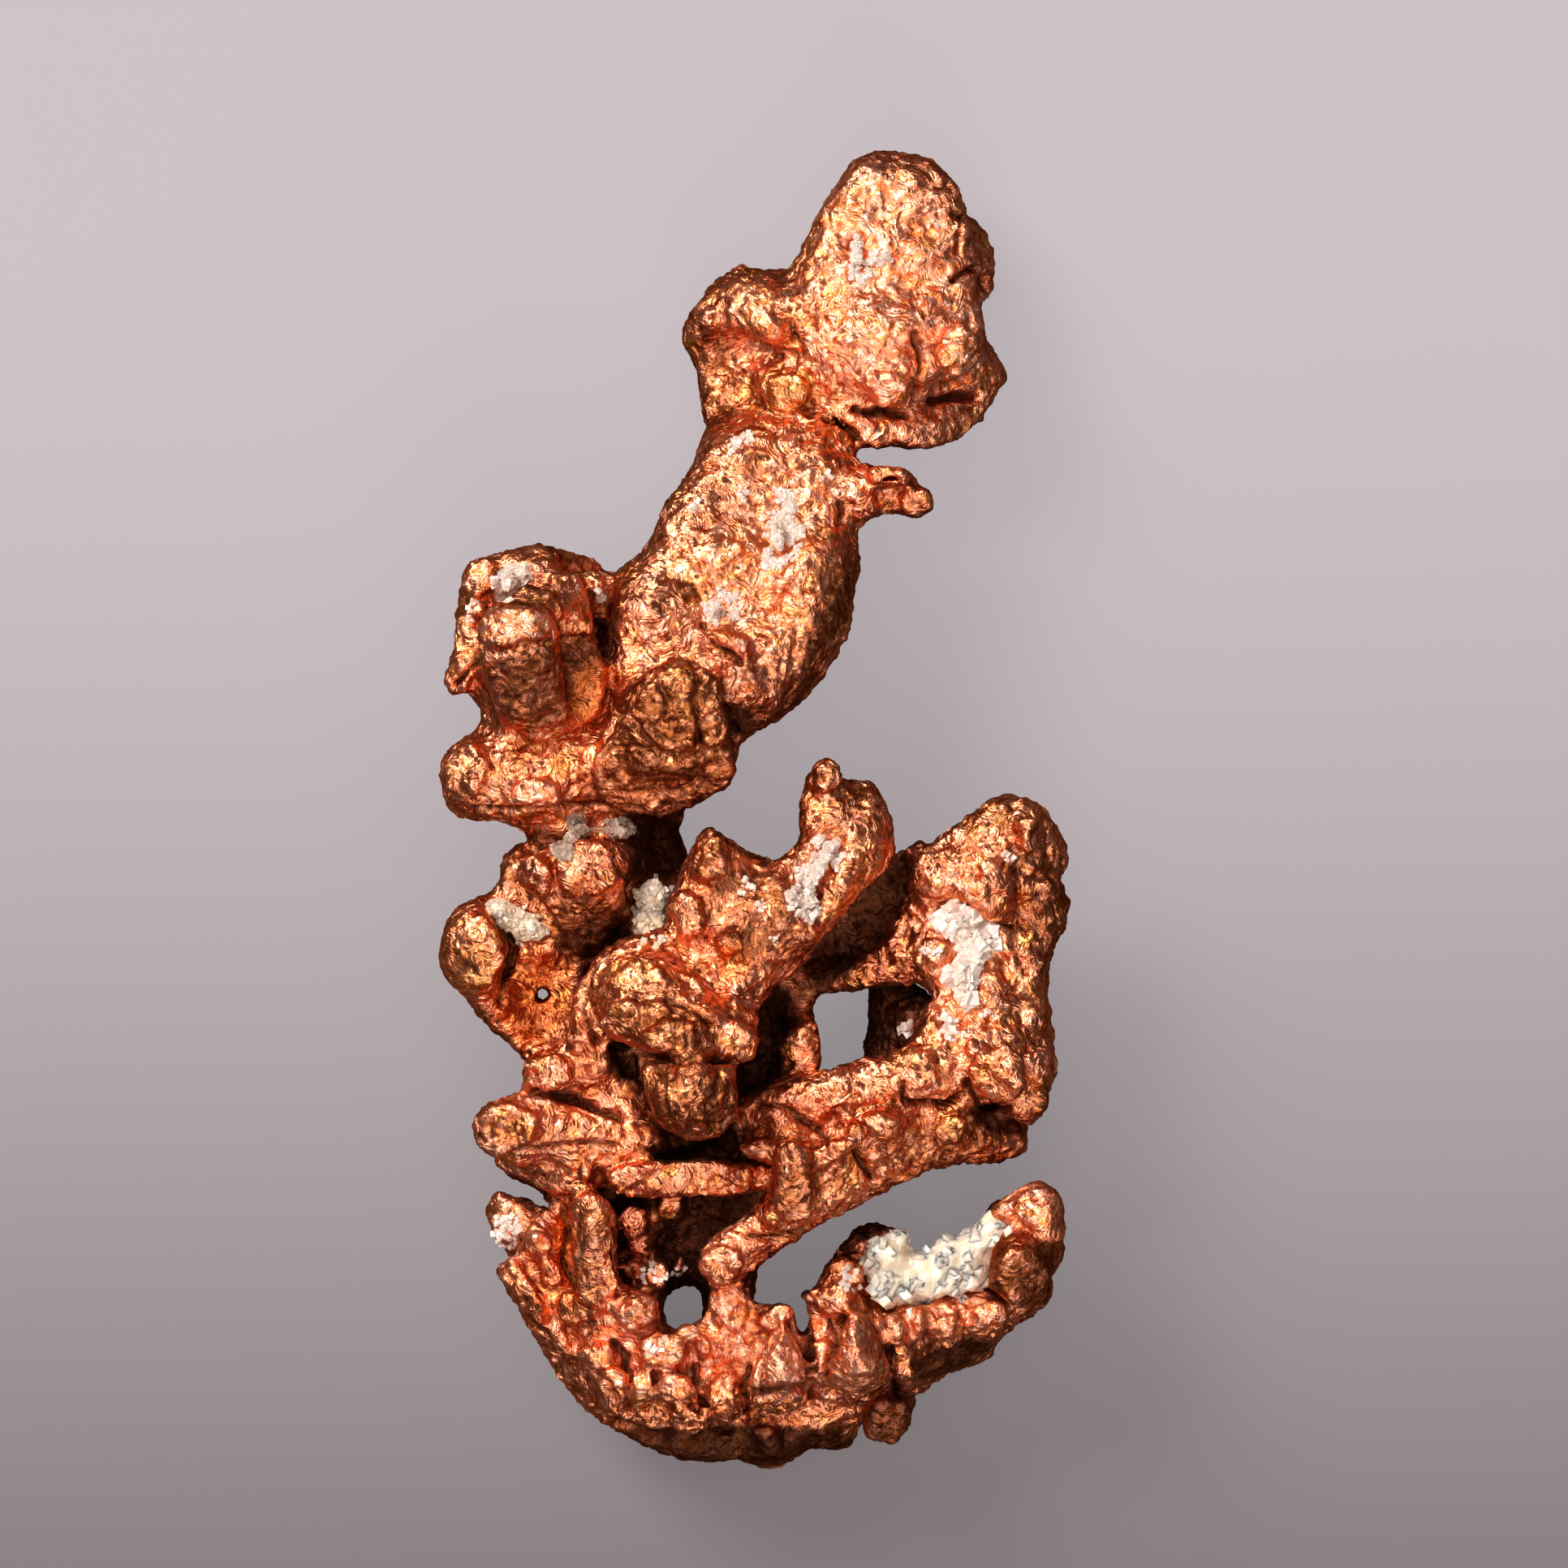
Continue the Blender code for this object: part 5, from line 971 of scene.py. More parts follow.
def colour_fields(body, fine, broad, creased, sky):
    """Stores the numbers that the copper's material reads at each vertex."""
    points = points_of(body)
    normals = normals_of(body)
    patchy = blotches(points, *PATCHES)
    upward = facing_up(averaged(normals, edges_of(body), 6), 0.5, 0.5)
    side = np.clip(1 - np.abs(normals[:, 2]) * FLANK_SLOPE, 0, 1)
    under = np.clip(-normals[:, 2], 0, 1)
    hollow = np.clip(-broad / FULL_HOLLOW, 0, 1)
    # Tarnish with painted shade: flanks and undersides are painted darker, hollows are partly tarnished and
    # partly painted dark
    tarnish_and_shade = zones(points, TARNISH_AND_SHADE_ZONES) * (TARNISH_AND_SHADE_BACK + (1 - TARNISH_AND_SHADE_BACK) * upward) + patchy
    tarnish_and_shade = tarnish_and_shade + HOLLOW_TARNISH_AND_SHADE * hollow + PAINTED_FLANK_SHADE * side + PAINTED_UNDERSIDE_SHADE * under
    # Painted shade: darker where a place sees little sky, in the shade zones, in creases and in hollows
    shade = eased((SHADE_START - sky) / SHADE_SPAN)
    shade += zones(points, SHADE_ZONES) * upward + SHADE_CREASED * creased + SHADE_HOLLOW * hollow
    # Of these fields the tarnish one carries painted shade on flanks, undersides and hollows, the shade one
    # is painted shade, the pale one is partly painted light, the orange one partly a painted glow, and the
    # edge one feeds painted shade in hollows
    fields = {
        "tarnish_and_shade": tarnish_and_shade,
        "orange_and_glow": ORANGE_ZONE * zones(points, ORANGE_GLOW_ZONES) + ORANGE_PATCHY * patchy - COLOUR_LOSS,
        "gold": ZONE_STRENGTH * zones(points, GOLD_ZONES) + blotches(points, *GOLD_BLOTCHES) - COLOUR_LOSS,
        "edge": np.clip(fine / FULL_EDGE, -1, 1) * 0.5 + 0.5,
        "shade": shade,
        "pale": ZONE_STRENGTH * zones(points, PALE_AND_LIT_ZONES) + blotches(points, *PALE_BLOTCHES),
    }
    for name, values in fields.items():
        write_attribute(body, name, np.clip(values, 0, 1))


def parted(body):
    """One closed piece per CAD branch, cut from the dressed copper along the forks."""
    reference, owners = joined_nodes(BRANCHES)
    tree = tree_of(reference)
    removed(reference)
    points = points_of(body)
    labels = np.array([owners[tree.find_nearest(Vector(point))[2]] for point in points])
    spread = averaged(np.eye(len(BRANCHES))[labels], edges_of(body), 12)
    labels = spread.argmax(axis=1)
    pieces = []
    for number, name in enumerate(BRANCHES):
        pieces.append(one_branch(body, labels == number, name + "_metal"))
    return pieces


def one_branch(body, chosen, name):
    """The faces of the copper whose first corner belongs to one branch, capped where they were cut off."""
    work = bmesh.new()
    work.from_mesh(body.data)
    work.faces.ensure_lookup_table()
    others = [face for face in work.faces if not chosen[face.verts[0].index]]
    bmesh.ops.delete(work, geom=others, context="FACES")
    open_edges = [edge for edge in work.edges if edge.is_boundary]
    bmesh.ops.holes_fill(work, edges=open_edges, sides=0)
    for face in work.faces:
        face.smooth = True
    thing = from_work(name, work)
    set_points(thing, points_of(thing) * MM)
    return thing


# ---------------------------------------------------------------- quartz

# How a crust's grains lie:
# share, how many there are beside a loose crust's
# flank and top, how far they stand out there, lowest and highest, in grains
# piled, how much higher they lie on top where they are thickest
# biggest, the biggest grain beside the size that the crust gives
# kinds, in how many ways they are turned
# tint, that of the core: the material covers tints above 1 with dust
Growth = namedtuple("Growth", "share flank top piled biggest kinds tint")
LOOSE = Growth(1.0, (0.0, 0.4), (-0.2, 0.2), 0.4, 1.3, len(TURNS), 2.0)
# Crusts grown together: few grains, lying nearly alike in a clean core
FUSED = Growth(0.16, (-0.5, 0.0), (-0.5, 0.1), 0.0, 1.0, 5, 0.6)

# Each crust: node, growth, finish, grain size (mm), how broken up it is from 0 to 1, seed, and the
# outlines over which its grains lie, from above
CRUSTS = (
    ("quartz_arm_pocket", FUSED, "clear", 0.55, 0.0, 101, (
        (3.9, -14.3), (5.3, -14.2), (5.4, -14.9), (6.7, -14.9), (7.3, -14.1), (8.3, -13.5), (8.9, -13.9),
        (8.2, -14.6), (7.7, -15.4), (7.7, -16.2), (6.9, -16.8), (5.2, -16.9), (4.0, -16.7), (3.6, -16.1),
        (3.7, -15.2))),
    ("quartz_loop_patch", LOOSE, "milk", 0.46, 0.5, 111, (
        (6.2, -3.3), (6.6, -3.0), (7.0, -3.4), (8.0, -3.9), (8.1, -4.6), (7.6, -5.0), (7.5, -5.7),
        (7.2, -6.5), (6.8, -6.0), (6.3, -5.3), (6.9, -4.9), (6.7, -4.2), (6.0, -3.9))),
    ("quartz_crown_patch", LOOSE, "milk", 0.24, 0.95, 121, (
        (1.9, -0.9), (2.5, -0.6), (3.0, -1.0), (2.9, -1.8), (2.5, -2.2), (2.2, -3.0), (2.0, -3.7),
        (1.2, -3.2), (1.0, -2.2), (1.9, -1.7))),
    ("quartz_trunk_seam", FUSED, "cream", 0.3, 0.3, 131, (
        (-4.0, -2.5), (-3.5, -2.1), (-2.9, -2.3), (-3.0, -3.3), (-3.2, -4.2), (-3.1, -4.8), (-3.9, -4.3),
        (-4.2, -3.5))),
    ("quartz_claw_crust", FUSED, "cream", 0.24, 0.3, 141, (
        (-9.3, -3.0), (-8.3, -3.0), (-7.6, -3.4), (-7.2, -3.9), (-7.5, -4.3), (-8.2, -4.4), (-8.6, -3.8),
        (-9.1, -3.4))),
    ("quartz_knob_pocket", LOOSE, "milk", 0.26, 0.5, 151, (
        (-8.9, 8.0), (-8.5, 8.4), (-7.9, 8.2), (-7.5, 7.95), (-8.2, 7.6), (-8.5, 7.2), (-8.9, 7.4))),
    ("quartz_stem_upper", LOOSE, "milk", 0.17, 1.1, 161, (
        (0.6, 11.0), (1.4, 10.6), (1.5, 9.4), (1.2, 8.3), (0.4, 8.0), (0.0, 8.9), (0.6, 9.5), (0.2, 10.1))),
    ("quartz_stem_lower", LOOSE, "milk", 0.17, 1.1, 171, (
        (-2.1, 7.0), (-1.4, 7.6), (-0.5, 7.2), (-0.7, 6.4), (-1.6, 5.9), (-1.5, 6.7))),
    ("quartz_head_patch", LOOSE, "milk", 0.18, 1.0, 181, (
        (3.1, 19.8), (3.6, 19.5), (3.8, 19.1), (4.5, 19.2), (4.6, 18.8), (3.9, 18.7), (3.7, 18.0),
        (3.2, 18.0), (3.2, 18.9))),
    ("quartz_neck", LOOSE, "dusky", 0.24, 0.6, 191,
        ((-6.4, -0.1), (-5.9, -0.1), (-5.8, -0.6), (-6.3, -1.0)),
        ((-6.9, -1.0), (-6.3, -0.9), (-6.2, -1.4), (-6.8, -1.5)),
        ((-5.1, -0.2), (-4.4, 0.0), (-4.2, -0.7), (-4.8, -1.0))),
)
# Loose specks on the copper: x, y, width, height, turn of the oval they lie in, how many, grain size
SPECKS = (
    (-0.6, 12.6, 1.3, 0.5, 30, 22, 0.2),
    (2.3, 11.5, 0.5, 0.5, 0, 6, 0.16),
    (-0.4, 10.9, 0.5, 0.7, 20, 8, 0.18),
    (-2.1, 10.4, 0.4, 0.5, 0, 6, 0.18),
    (-8.5, -14.2, 1.0, 1.3, 0, 60, 0.2),
    (-3.45, -18.1, 0.6, 0.5, 0, 10, 0.22),
    (-3.6, -15.7, 1.1, 0.7, 20, 22, 0.18),
    (-2.65, -15.5, 0.4, 0.7, 0, 8, 0.18),
    (3.3, -15.8, 1.0, 1.1, 0, 16, 0.2),
    (-9.6, 6.9, 0.35, 0.9, -15, 12, 0.18),
    (6.1, 20.1, 0.3, 0.3, 0, 4, 0.16),
    (8.55, -1.5, 0.9, 0.25, -50, 10, 0.16),
    (0.6, -4.3, 0.4, 0.5, 0, 6, 0.16),
    (-0.4, -2.5, 0.6, 0.5, 30, 9, 0.18),
    (0.2, -3.1, 0.5, 0.4, 0, 7, 0.16),
    (4.2, 18.8, 0.4, 0.4, 0, 6, 0.18),
    (-5.3, 7.4, 0.6, 0.4, 0, 9, 0.22),
    (5.9, -4.7, 0.7, 0.4, 0, 10, 0.2),
    (5.15, -7.3, 0.4, 0.6, -20, 8, 0.3),
    (6.55, -7.25, 0.6, 0.9, 10, 14, 0.3),
    (7.9, -7.0, 0.8, 0.6, 0, 6, 0.16),
    (0.7, 9.3, 1.1, 2.2, 10, 26, 0.16),
    (-1.2, 6.9, 1.5, 1.1, 0, 22, 0.16),
    (3.8, -15.3, 0.8, 1.0, 0, 12, 0.2),
)
# Quartz grains: how many shapes there are, the block that they are broken from, how uneven its corners
# are, and the smallest grain beside the size that a crust gives
GRAIN_KINDS = 12
GRAIN_BLOCK = (1.0, 0.8, 0.62)
GRAIN_STRETCH = (0.72, 1.2)
GRAIN_JITTER = 0.05
SMALLEST_GRAIN = 0.5


def grain_shapes(seed):
    """A few broken block shapes, about 1 across: their vertices and triangles."""
    random = np.random.default_rng(seed)
    shapes = []
    for _ in range(GRAIN_KINDS):
        work = bmesh.new()
        for corner in CORNERS - 0.5:
            place = corner * GRAIN_BLOCK * random.uniform(*GRAIN_STRETCH, 3)
            work.verts.new(place + random.normal(0, GRAIN_JITTER, 3))
        bmesh.ops.convex_hull(work, input=work.verts)
        loose = [vertex for vertex in work.verts if not vertex.link_faces]
        bmesh.ops.delete(work, geom=loose, context="VERTS")
        work.verts.index_update()
        corners = np.array([vertex.co for vertex in work.verts])
        faces = np.array([[vertex.index for vertex in face.verts] for face in work.faces])
        shapes.append((corners, faces))
        work.free()
    return shapes


def inside(outline, x, y):
    """Whether a point lies within an outline."""
    crossed = False
    for (x1, y1), (x2, y2) in zip(outline, outline[1:] + outline[:1]):
        if (y1 > y) != (y2 > y) and x < x1 + (y - y1) / (y2 - y1) * (x2 - x1):
            crossed = not crossed
    return crossed


def within(outlines, x, y):
    """Whether a point lies within any of some outlines."""
    return any(inside(outline, x, y) for outline in outlines)


def grains(name, places, sizes, random, growth, core=None):
    """Angular grains at these places, and the core under them, as one mesh with tints."""
    vertices = []
    faces = []
    tints = []
    count = 0
    if core is not None:
        vertices.append(points_of(core))
        faces.extend(tuple(polygon.vertices) for polygon in core.data.polygons)
        tints.append(np.full(len(vertices[0]), growth.tint))
        count = len(vertices[0])
        removed(core)
    for place, size in zip(places, sizes):
        corners, triangles = SHAPES[random.integers(GRAIN_KINDS)]
        turned = corners @ TURNS[random.integers(growth.kinds)].T * size + place
        vertices.append(turned)
        faces.extend(tuple(triangle) for triangle in triangles + count)
        tints.append(np.full(len(turned), random.random()))
        count += len(turned)
    points = np.concatenate(vertices)
    points[:, 2] = np.maximum(points[:, 2], FLOOR_Z)
    thing = new_object(name, points * MM, faces)
    write_attribute(thing, "tint", np.concatenate(tints))
    return thing


SHAPES = grain_shapes(3)
DROP_HEIGHT = 30.0


def dropped(trees, x, y):
    """The highest point of some search trees under a place, with its normal."""
    start = Vector((x + MIDDLE[0], y + MIDDLE[1], DROP_HEIGHT))
    hits = [tree.ray_cast(start, Vector((0, 0, -1)))[:2] for tree in trees]
    hits = [(np.array(hit), np.array(normal)) for hit, normal in hits if hit is not None]
    return max(hits, key=lambda found: found[0][2], default=None)


# How far a loose crust's core lies inside its solid, and how much deeper where it is all broken up (mm)
CORE_INSET = 0.22
CORE_SINK = 0.2
# How far a fused crust's core stands out, mm, and the sizes of its lumps, in grains
FUSED_RISE = 0.03
LUMP_SIZE = 1.8
SMALL_LUMP_SIZE = 0.9


def crust_core(name, grain, gaps, seed, growth):
    """The body of a quartz patch under its grains, and the way out of it at each vertex."""
    core, _ = joined_nodes((name,))
    remeshed(core, QUARTZ_VOXEL)
    plain = averaged(points_of(core), edges_of(core), 2)
    set_points(core, plain)
    outward = normals_of(core)
    if growth is FUSED:
        lumps = crystals(plain, grain * LUMP_SIZE, seed + 5)
        lumps += 0.5 * crystals(plain, grain * SMALL_LUMP_SIZE, seed + 9)
        set_points(core, plain + outward * (grain * lumps + FUSED_RISE)[:, None])
    else:
        set_points(core, plain - outward * (CORE_INSET + CORE_SINK * gaps))
    return core, outward


# The steepest slope that counts as a crust's top, as the upward part of its normal
TOP_SLOPE = 0.6
# How close together grains lie, in grains, and how many tries it takes to cover the top
FLANK_SPACING = 0.5
TOP_SPACING = 0.6
TOP_TRIES = 5.0
# The size of the solid and broken parts of a patch, mm, and how much smaller they are in the most broken
SOLID_SIZE = 0.7
SOLID_LESS = 0.3
# The crooked border of a patch: its size, how far it wanders, and how far out that can reach, mm
BORDER_SIZE = 0.6
BORDER_WANDER = 0.16
BORDER_REACH = 0.15


def flank_places(core, outward, grain, growth, outlines, random):
    """Places for grains on the flanks of a crust's core."""
    shell = points_of(core)
    flank = np.nonzero(outward[:, 2] < TOP_SLOPE)[0]
    share = min(1.0, QUARTZ_VOXEL ** 2 / (grain * FLANK_SPACING) ** 2) * growth.share
    places = []
    for number in flank[random.random(len(flank)) < share]:
        x, y = shell[number][:2] - MIDDLE
        if len(outlines) == 1 or within(outlines, x, y):
            rise = grain * random.uniform(*growth.flank)
            places.append(shell[number] + outward[number] * rise)
    return places


def top_places(trees, grain, gaps, seed, growth, outlines, random):
    """Places for grains over a crust's outlines, on what lies highest there."""
    corners = np.concatenate(outlines)
    low = corners.min(axis=0)
    high = corners.max(axis=0)
    tries = TOP_TRIES * (high[0] - low[0]) * (high[1] - low[1]) / (grain * TOP_SPACING) ** 2
    spots = np.zeros((int(tries * growth.share), 3))
    for axis in (0, 1):
        spots[:, axis] = random.uniform(low[axis] - BORDER_REACH, high[axis] + BORDER_REACH, len(spots))
    border = BORDER_WANDER * wander(spots, BORDER_SIZE, seed + 1, 2)
    solidity = layered(spots, SOLID_SIZE - SOLID_LESS * gaps, seed + 3, 2)
    places = []
    for (x, y, _), (dx, dy), solid in zip(spots, border, solidity):
        if solid < gaps - 1 or not within(outlines, x + dx, y + dy):
            continue
        found = dropped(trees, x, y)
        if found is not None:
            rise = grain * random.uniform(growth.top[0], growth.top[1] + growth.piled * max(solid, 0))
            places.append(found[0] + found[1] * rise)
    return places


def crust(copper, name, growth, grain, gaps, seed, outlines):
    """A quartz patch: broken grains over its outlines and flanks, upon a core of its solid's form."""
    random = np.random.default_rng(seed)
    core, outward = crust_core(name, grain, gaps, seed, growth)
    places = flank_places(core, outward, grain, growth, outlines, random)
    places += top_places((copper, tree_of(core)), grain, gaps, seed, growth, outlines, random)
    sizes = grain * random.uniform(SMALLEST_GRAIN, growth.biggest, len(places))
    return grains(name + "_grains", places, sizes, random, growth, core)


# How far loose specks stand out from the copper, in grains
SPECK_RISE = 0.1


def specks(copper):
    """Loose quartz grains scattered on the copper."""
    random = np.random.default_rng(7)
    places = []
    sizes = []
    for x, y, width, height, turn, count, grain in SPECKS:
        angle = math.radians(turn)
        for _ in range(count):
            away = math.sqrt(random.random()) / 2
            round_about = random.uniform(0, 2 * math.pi)
            across = away * width * math.cos(round_about)
            along = away * height * math.sin(round_about)
            spot_x = x + across * math.cos(angle) - along * math.sin(angle)
            spot_y = y + across * math.sin(angle) + along * math.cos(angle)
            found = dropped((copper,), spot_x, spot_y)
            if found is not None:
                places.append(found[0] + found[1] * SPECK_RISE * grain)
                sizes.append(grain * random.uniform(SMALLEST_GRAIN, LOOSE.biggest))
    return grains("quartz_specks", places, sizes, random, LOOSE)


# ---------------------------------------------------------------- materials

# What bends the borders of a pattern's cells: its size and how far it pushes them, in cells
PUSH_SIZE = 1.4
PUSH_FAR = 1.6


class Nodes:
    """A short way to write the node tree of a material or a world."""

    def __init__(self, owner):
        self.owner = owner
        owner.use_nodes = True
        self.tree = owner.node_tree
        self.tree.nodes.clear()

    def add(self, kind, inputs=(), **settings):
        """Adds a node; inputs maps socket names or numbers to values or to other nodes' outputs."""
        node = self.tree.nodes.new("ShaderNode" + kind)
        for key, value in settings.items():
            setattr(node, key, value)
        for key, value in dict(inputs).items():
            if isinstance(value, bpy.types.NodeSocket):
                self.tree.links.new(value, node.inputs[key])
            else:
                node.inputs[key].default_value = value
        return node

    def math(self, operation, first, second=0.0, third=0.0, clamp=False):
        """A number from two or three numbers."""
        numbers = {0: first, 1: second, 2: third}
        return self.add("Math", numbers, operation=operation, use_clamp=clamp).outputs[0]

    def times(self, first, second, clamp=False):
        """Two numbers multiplied."""
        return self.math("MULTIPLY", first, second, clamp=clamp)

    def line(self, value, slope, start):
        """A number multiplied by a slope, on top of a start."""
        return self.math("MULTIPLY_ADD", value, slope, start)

    def ramp(self, value, low, high, start=0.0, end=1.0, **settings):
        """A number stretched so that low becomes start and high becomes end."""
        ends = {"Value": value, "From Min": low, "From Max": high, "To Min": start, "To Max": end}
        return self.add("MapRange", ends, **settings).outputs["Result"]

    def vector(self, operation, first, second):
        """A vector from two vectors, or from a vector and a scale."""
        key = "Scale" if operation == "SCALE" else 1
        return self.add("VectorMath", {0: first, key: second}, operation=operation).outputs[0]

    def mixed(self, factor, first, second):
        """A colour between two colours."""
        return self.add("Mix", {0: factor, 6: first, 7: second}, data_type="RGBA").outputs[2]

    def attribute(self, name):
        """A number stored at the vertices."""
        return self.add("Attribute", attribute_name=name).outputs["Fac"]

    def noise(self, place, size, detail, output="Fac"):
        """Cloudy noise with features of this size in millimetres."""
        values = {"Vector": place, "Scale": metres(size), "Detail": detail}
        return self.add("TexNoise", values).outputs[output]

    def cells(self, place, size):
        """A random colour for each of many cells with crooked borders, of this size in millimetres."""
        cloud = self.noise(place, size * PUSH_SIZE, 2.0, "Color")
        crooked = self.vector("ADD", place, self.vector("SCALE", cloud, size * MM * PUSH_FAR))
        return self.add("TexVoronoi", {"Vector": crooked, "Scale": metres(size)}).outputs["Color"]

    def finished(self, values):
        """The material with a principled shader of these values as its surface."""
        shader = self.add("BsdfPrincipled", values)
        self.add("OutputMaterial", {"Surface": shader.outputs["BSDF"]})
        return self.owner


def metres(size):
    """The texture scale that gives cells of this size in millimetres."""
    return 1.0 / (size * MM)


def rgb(red, green, blue):
    """A linear colour with full alpha."""
    return (red, green, blue, 1.0)


COPPER_BASE = rgb(0.84, 0.28, 0.11)
COPPER_PINK = rgb(0.92, 0.38, 0.24)
COPPER_PALE = rgb(0.98, 0.54, 0.39)
COPPER_GOLD = rgb(0.95, 0.45, 0.12)
COPPER_EMBER = rgb(0.88, 0.22, 0.06)
# Orange copper, partly a painted glow of bounced light
COPPER_ORANGE = rgb(0.92, 0.26, 0.055)
COPPER_MAUVE = rgb(0.46, 0.18, 0.12)
# Painted shade in hollows
COPPER_HOLLOW_SHADE = rgb(0.30, 0.095, 0.03)
# Brown of tarnish, also used as painted shade on flanks and undersides
COPPER_BROWN = rgb(0.20, 0.06, 0.018)
# Painted reflection: red glow of light bounced between copper faces, in hollows on pale faces
COPPER_HOLLOW_REFLECTION = rgb(0.70, 0.18, 0.05)
# Painted shade, laid over the copper where the shade field is high
COPPER_PAINTED_SHADE = rgb(0.035, 0.008, 0.002)
COPPER_RIM = rgb(0.52, 0.30, 0.19)

# How strongly some of those colours lie over the ones before them
GOLD_STRENGTH = 0.9
MAUVE_STRENGTH = 0.5
BROWN_STRENGTH = 0.9
ORANGE_STRENGTH = 0.85
PAINTED_SHADE_STRENGTH = 0.85

# Sizes of the copper's patterns, mm
MOTTLE_SIZE = 0.7
SPECKLE_SIZE = 0.22
STAIN_SIZE = 1.6
BLEND_SIZE = 0.95
GRAIN_SIZE = 0.2
CRUMPLE_SIZE = 0.8
POLISH_SIZE = 0.45
DUST_SIZE = 0.1

# Between which values of a pattern each colour comes in
PINK_RAMP = (0.35, 0.65)
BLEND_RAMP = (0.56, 0.72)
GOLD_RAMP = (0.3, 0.55)
EMBER_RAMP = (0.55, 0.8)
FRESH_RAMP = (0.45, 0.7)
STAIN_RAMP = (0.54, 0.7)
BROWN_RAMP = (0.2, 0.55)
WORN_RAMP = (0.7, 0.85)
# Painted shade in concave places and in the furrows of the small folds
EDGE_RAMP = (0.5, 0.1)
FURROW_RAMP = (0.75, 0.35)
POLISH_RAMP = (0.3, 0.7)
# What paleness does to gold, ember, fresh copper and the painted shade and painted glow in hollows, and what
# worn grains do to the brown of tarnish and painted shade: slope and start
GOLD_LINE = (-0.35, 1.0)
EMBER_LINE = (0.25, 0.45)
FRESH_LINE = (0.65, 0.2)
HOLLOW_LINE = (-0.2, 0.75)
WORN_LINE = (-0.75, 1.0)

# The small folds' pattern, and how high folds and dust are, mm
CRUMPLE_SHAPE = {
    "Detail": 4.0, "Roughness": 0.62, "Lacunarity": 2.1, "Distortion": 0.9, "Offset": 1.0, "Gain": 1.4,
}
CRUMPLE_HEIGHT = 0.035
DUST_HEIGHT = 0.03
# Layers of small crystal faces: their size (mm) and how far they tilt the surface
FACET_LAYERS = ((0.4, 0.3), (0.17, 0.38))
# How rough the copper is where it is most and least polished, and what brown, shade and paleness add
POLISHED = 0.26
UNPOLISHED = 0.42
BROWN_ROUGH = 0.12
SHADE_ROUGH = 0.25
PALE_ROUGH = 0.13


def crystalline_colour(nodes, place, gold, pale, speckle, grain):
    """The bright copper's colour: pink mottling, golden patches, and grains of ember, pale and mauve."""
    mottle = nodes.ramp(nodes.noise(place, MOTTLE_SIZE, 4.0), *PINK_RAMP)
    colour = nodes.mixed(mottle, COPPER_BASE, COPPER_PINK)
    blend = nodes.ramp(nodes.noise(place, BLEND_SIZE, 4.0), *BLEND_RAMP)
    golden = nodes.math("ADD", nodes.times(gold, GOLD_STRENGTH), blend, clamp=True)
    golden = nodes.times(golden, nodes.line(pale, *GOLD_LINE))
    colour = nodes.mixed(nodes.times(golden, nodes.ramp(speckle, *GOLD_RAMP)), colour, COPPER_GOLD)
    ember = nodes.times(nodes.ramp(grain.outputs["Y"], *EMBER_RAMP), nodes.line(pale, *EMBER_LINE))
    colour = nodes.mixed(ember, colour, COPPER_EMBER)
    fresh = nodes.times(nodes.line(pale, *FRESH_LINE), nodes.ramp(grain.outputs["X"], *FRESH_RAMP))
    colour = nodes.mixed(fresh, colour, COPPER_PALE)
    stain = nodes.ramp(nodes.noise(place, STAIN_SIZE, 5.0), *STAIN_RAMP)
    return nodes.mixed(nodes.times(stain, MAUVE_STRENGTH), colour, COPPER_MAUVE)


def copper_normal(nodes, place, crumple):
    """How the copper's surface is turned: small folds, crystal faces that each tilt their own way, dust."""
    folds = nodes.add("Bump", {"Height": crumple, "Strength": 1.0, "Distance": CRUMPLE_HEIGHT * MM})
    normal = folds.outputs["Normal"]
    for size, strength in FACET_LAYERS:
        tilt = nodes.vector("SUBTRACT", nodes.cells(place, size), (0.5, 0.5, 0.5))
        normal = nodes.vector("ADD", normal, nodes.vector("SCALE", tilt, strength))
    normal = nodes.add("VectorMath", {0: normal}, operation="NORMALIZE").outputs[0]
    dust = nodes.noise(place, DUST_SIZE, 2.0)
    return nodes.add("Bump", {
        "Height": dust, "Normal": normal, "Strength": 0.5, "Distance": DUST_HEIGHT * MM,
    }).outputs["Normal"]


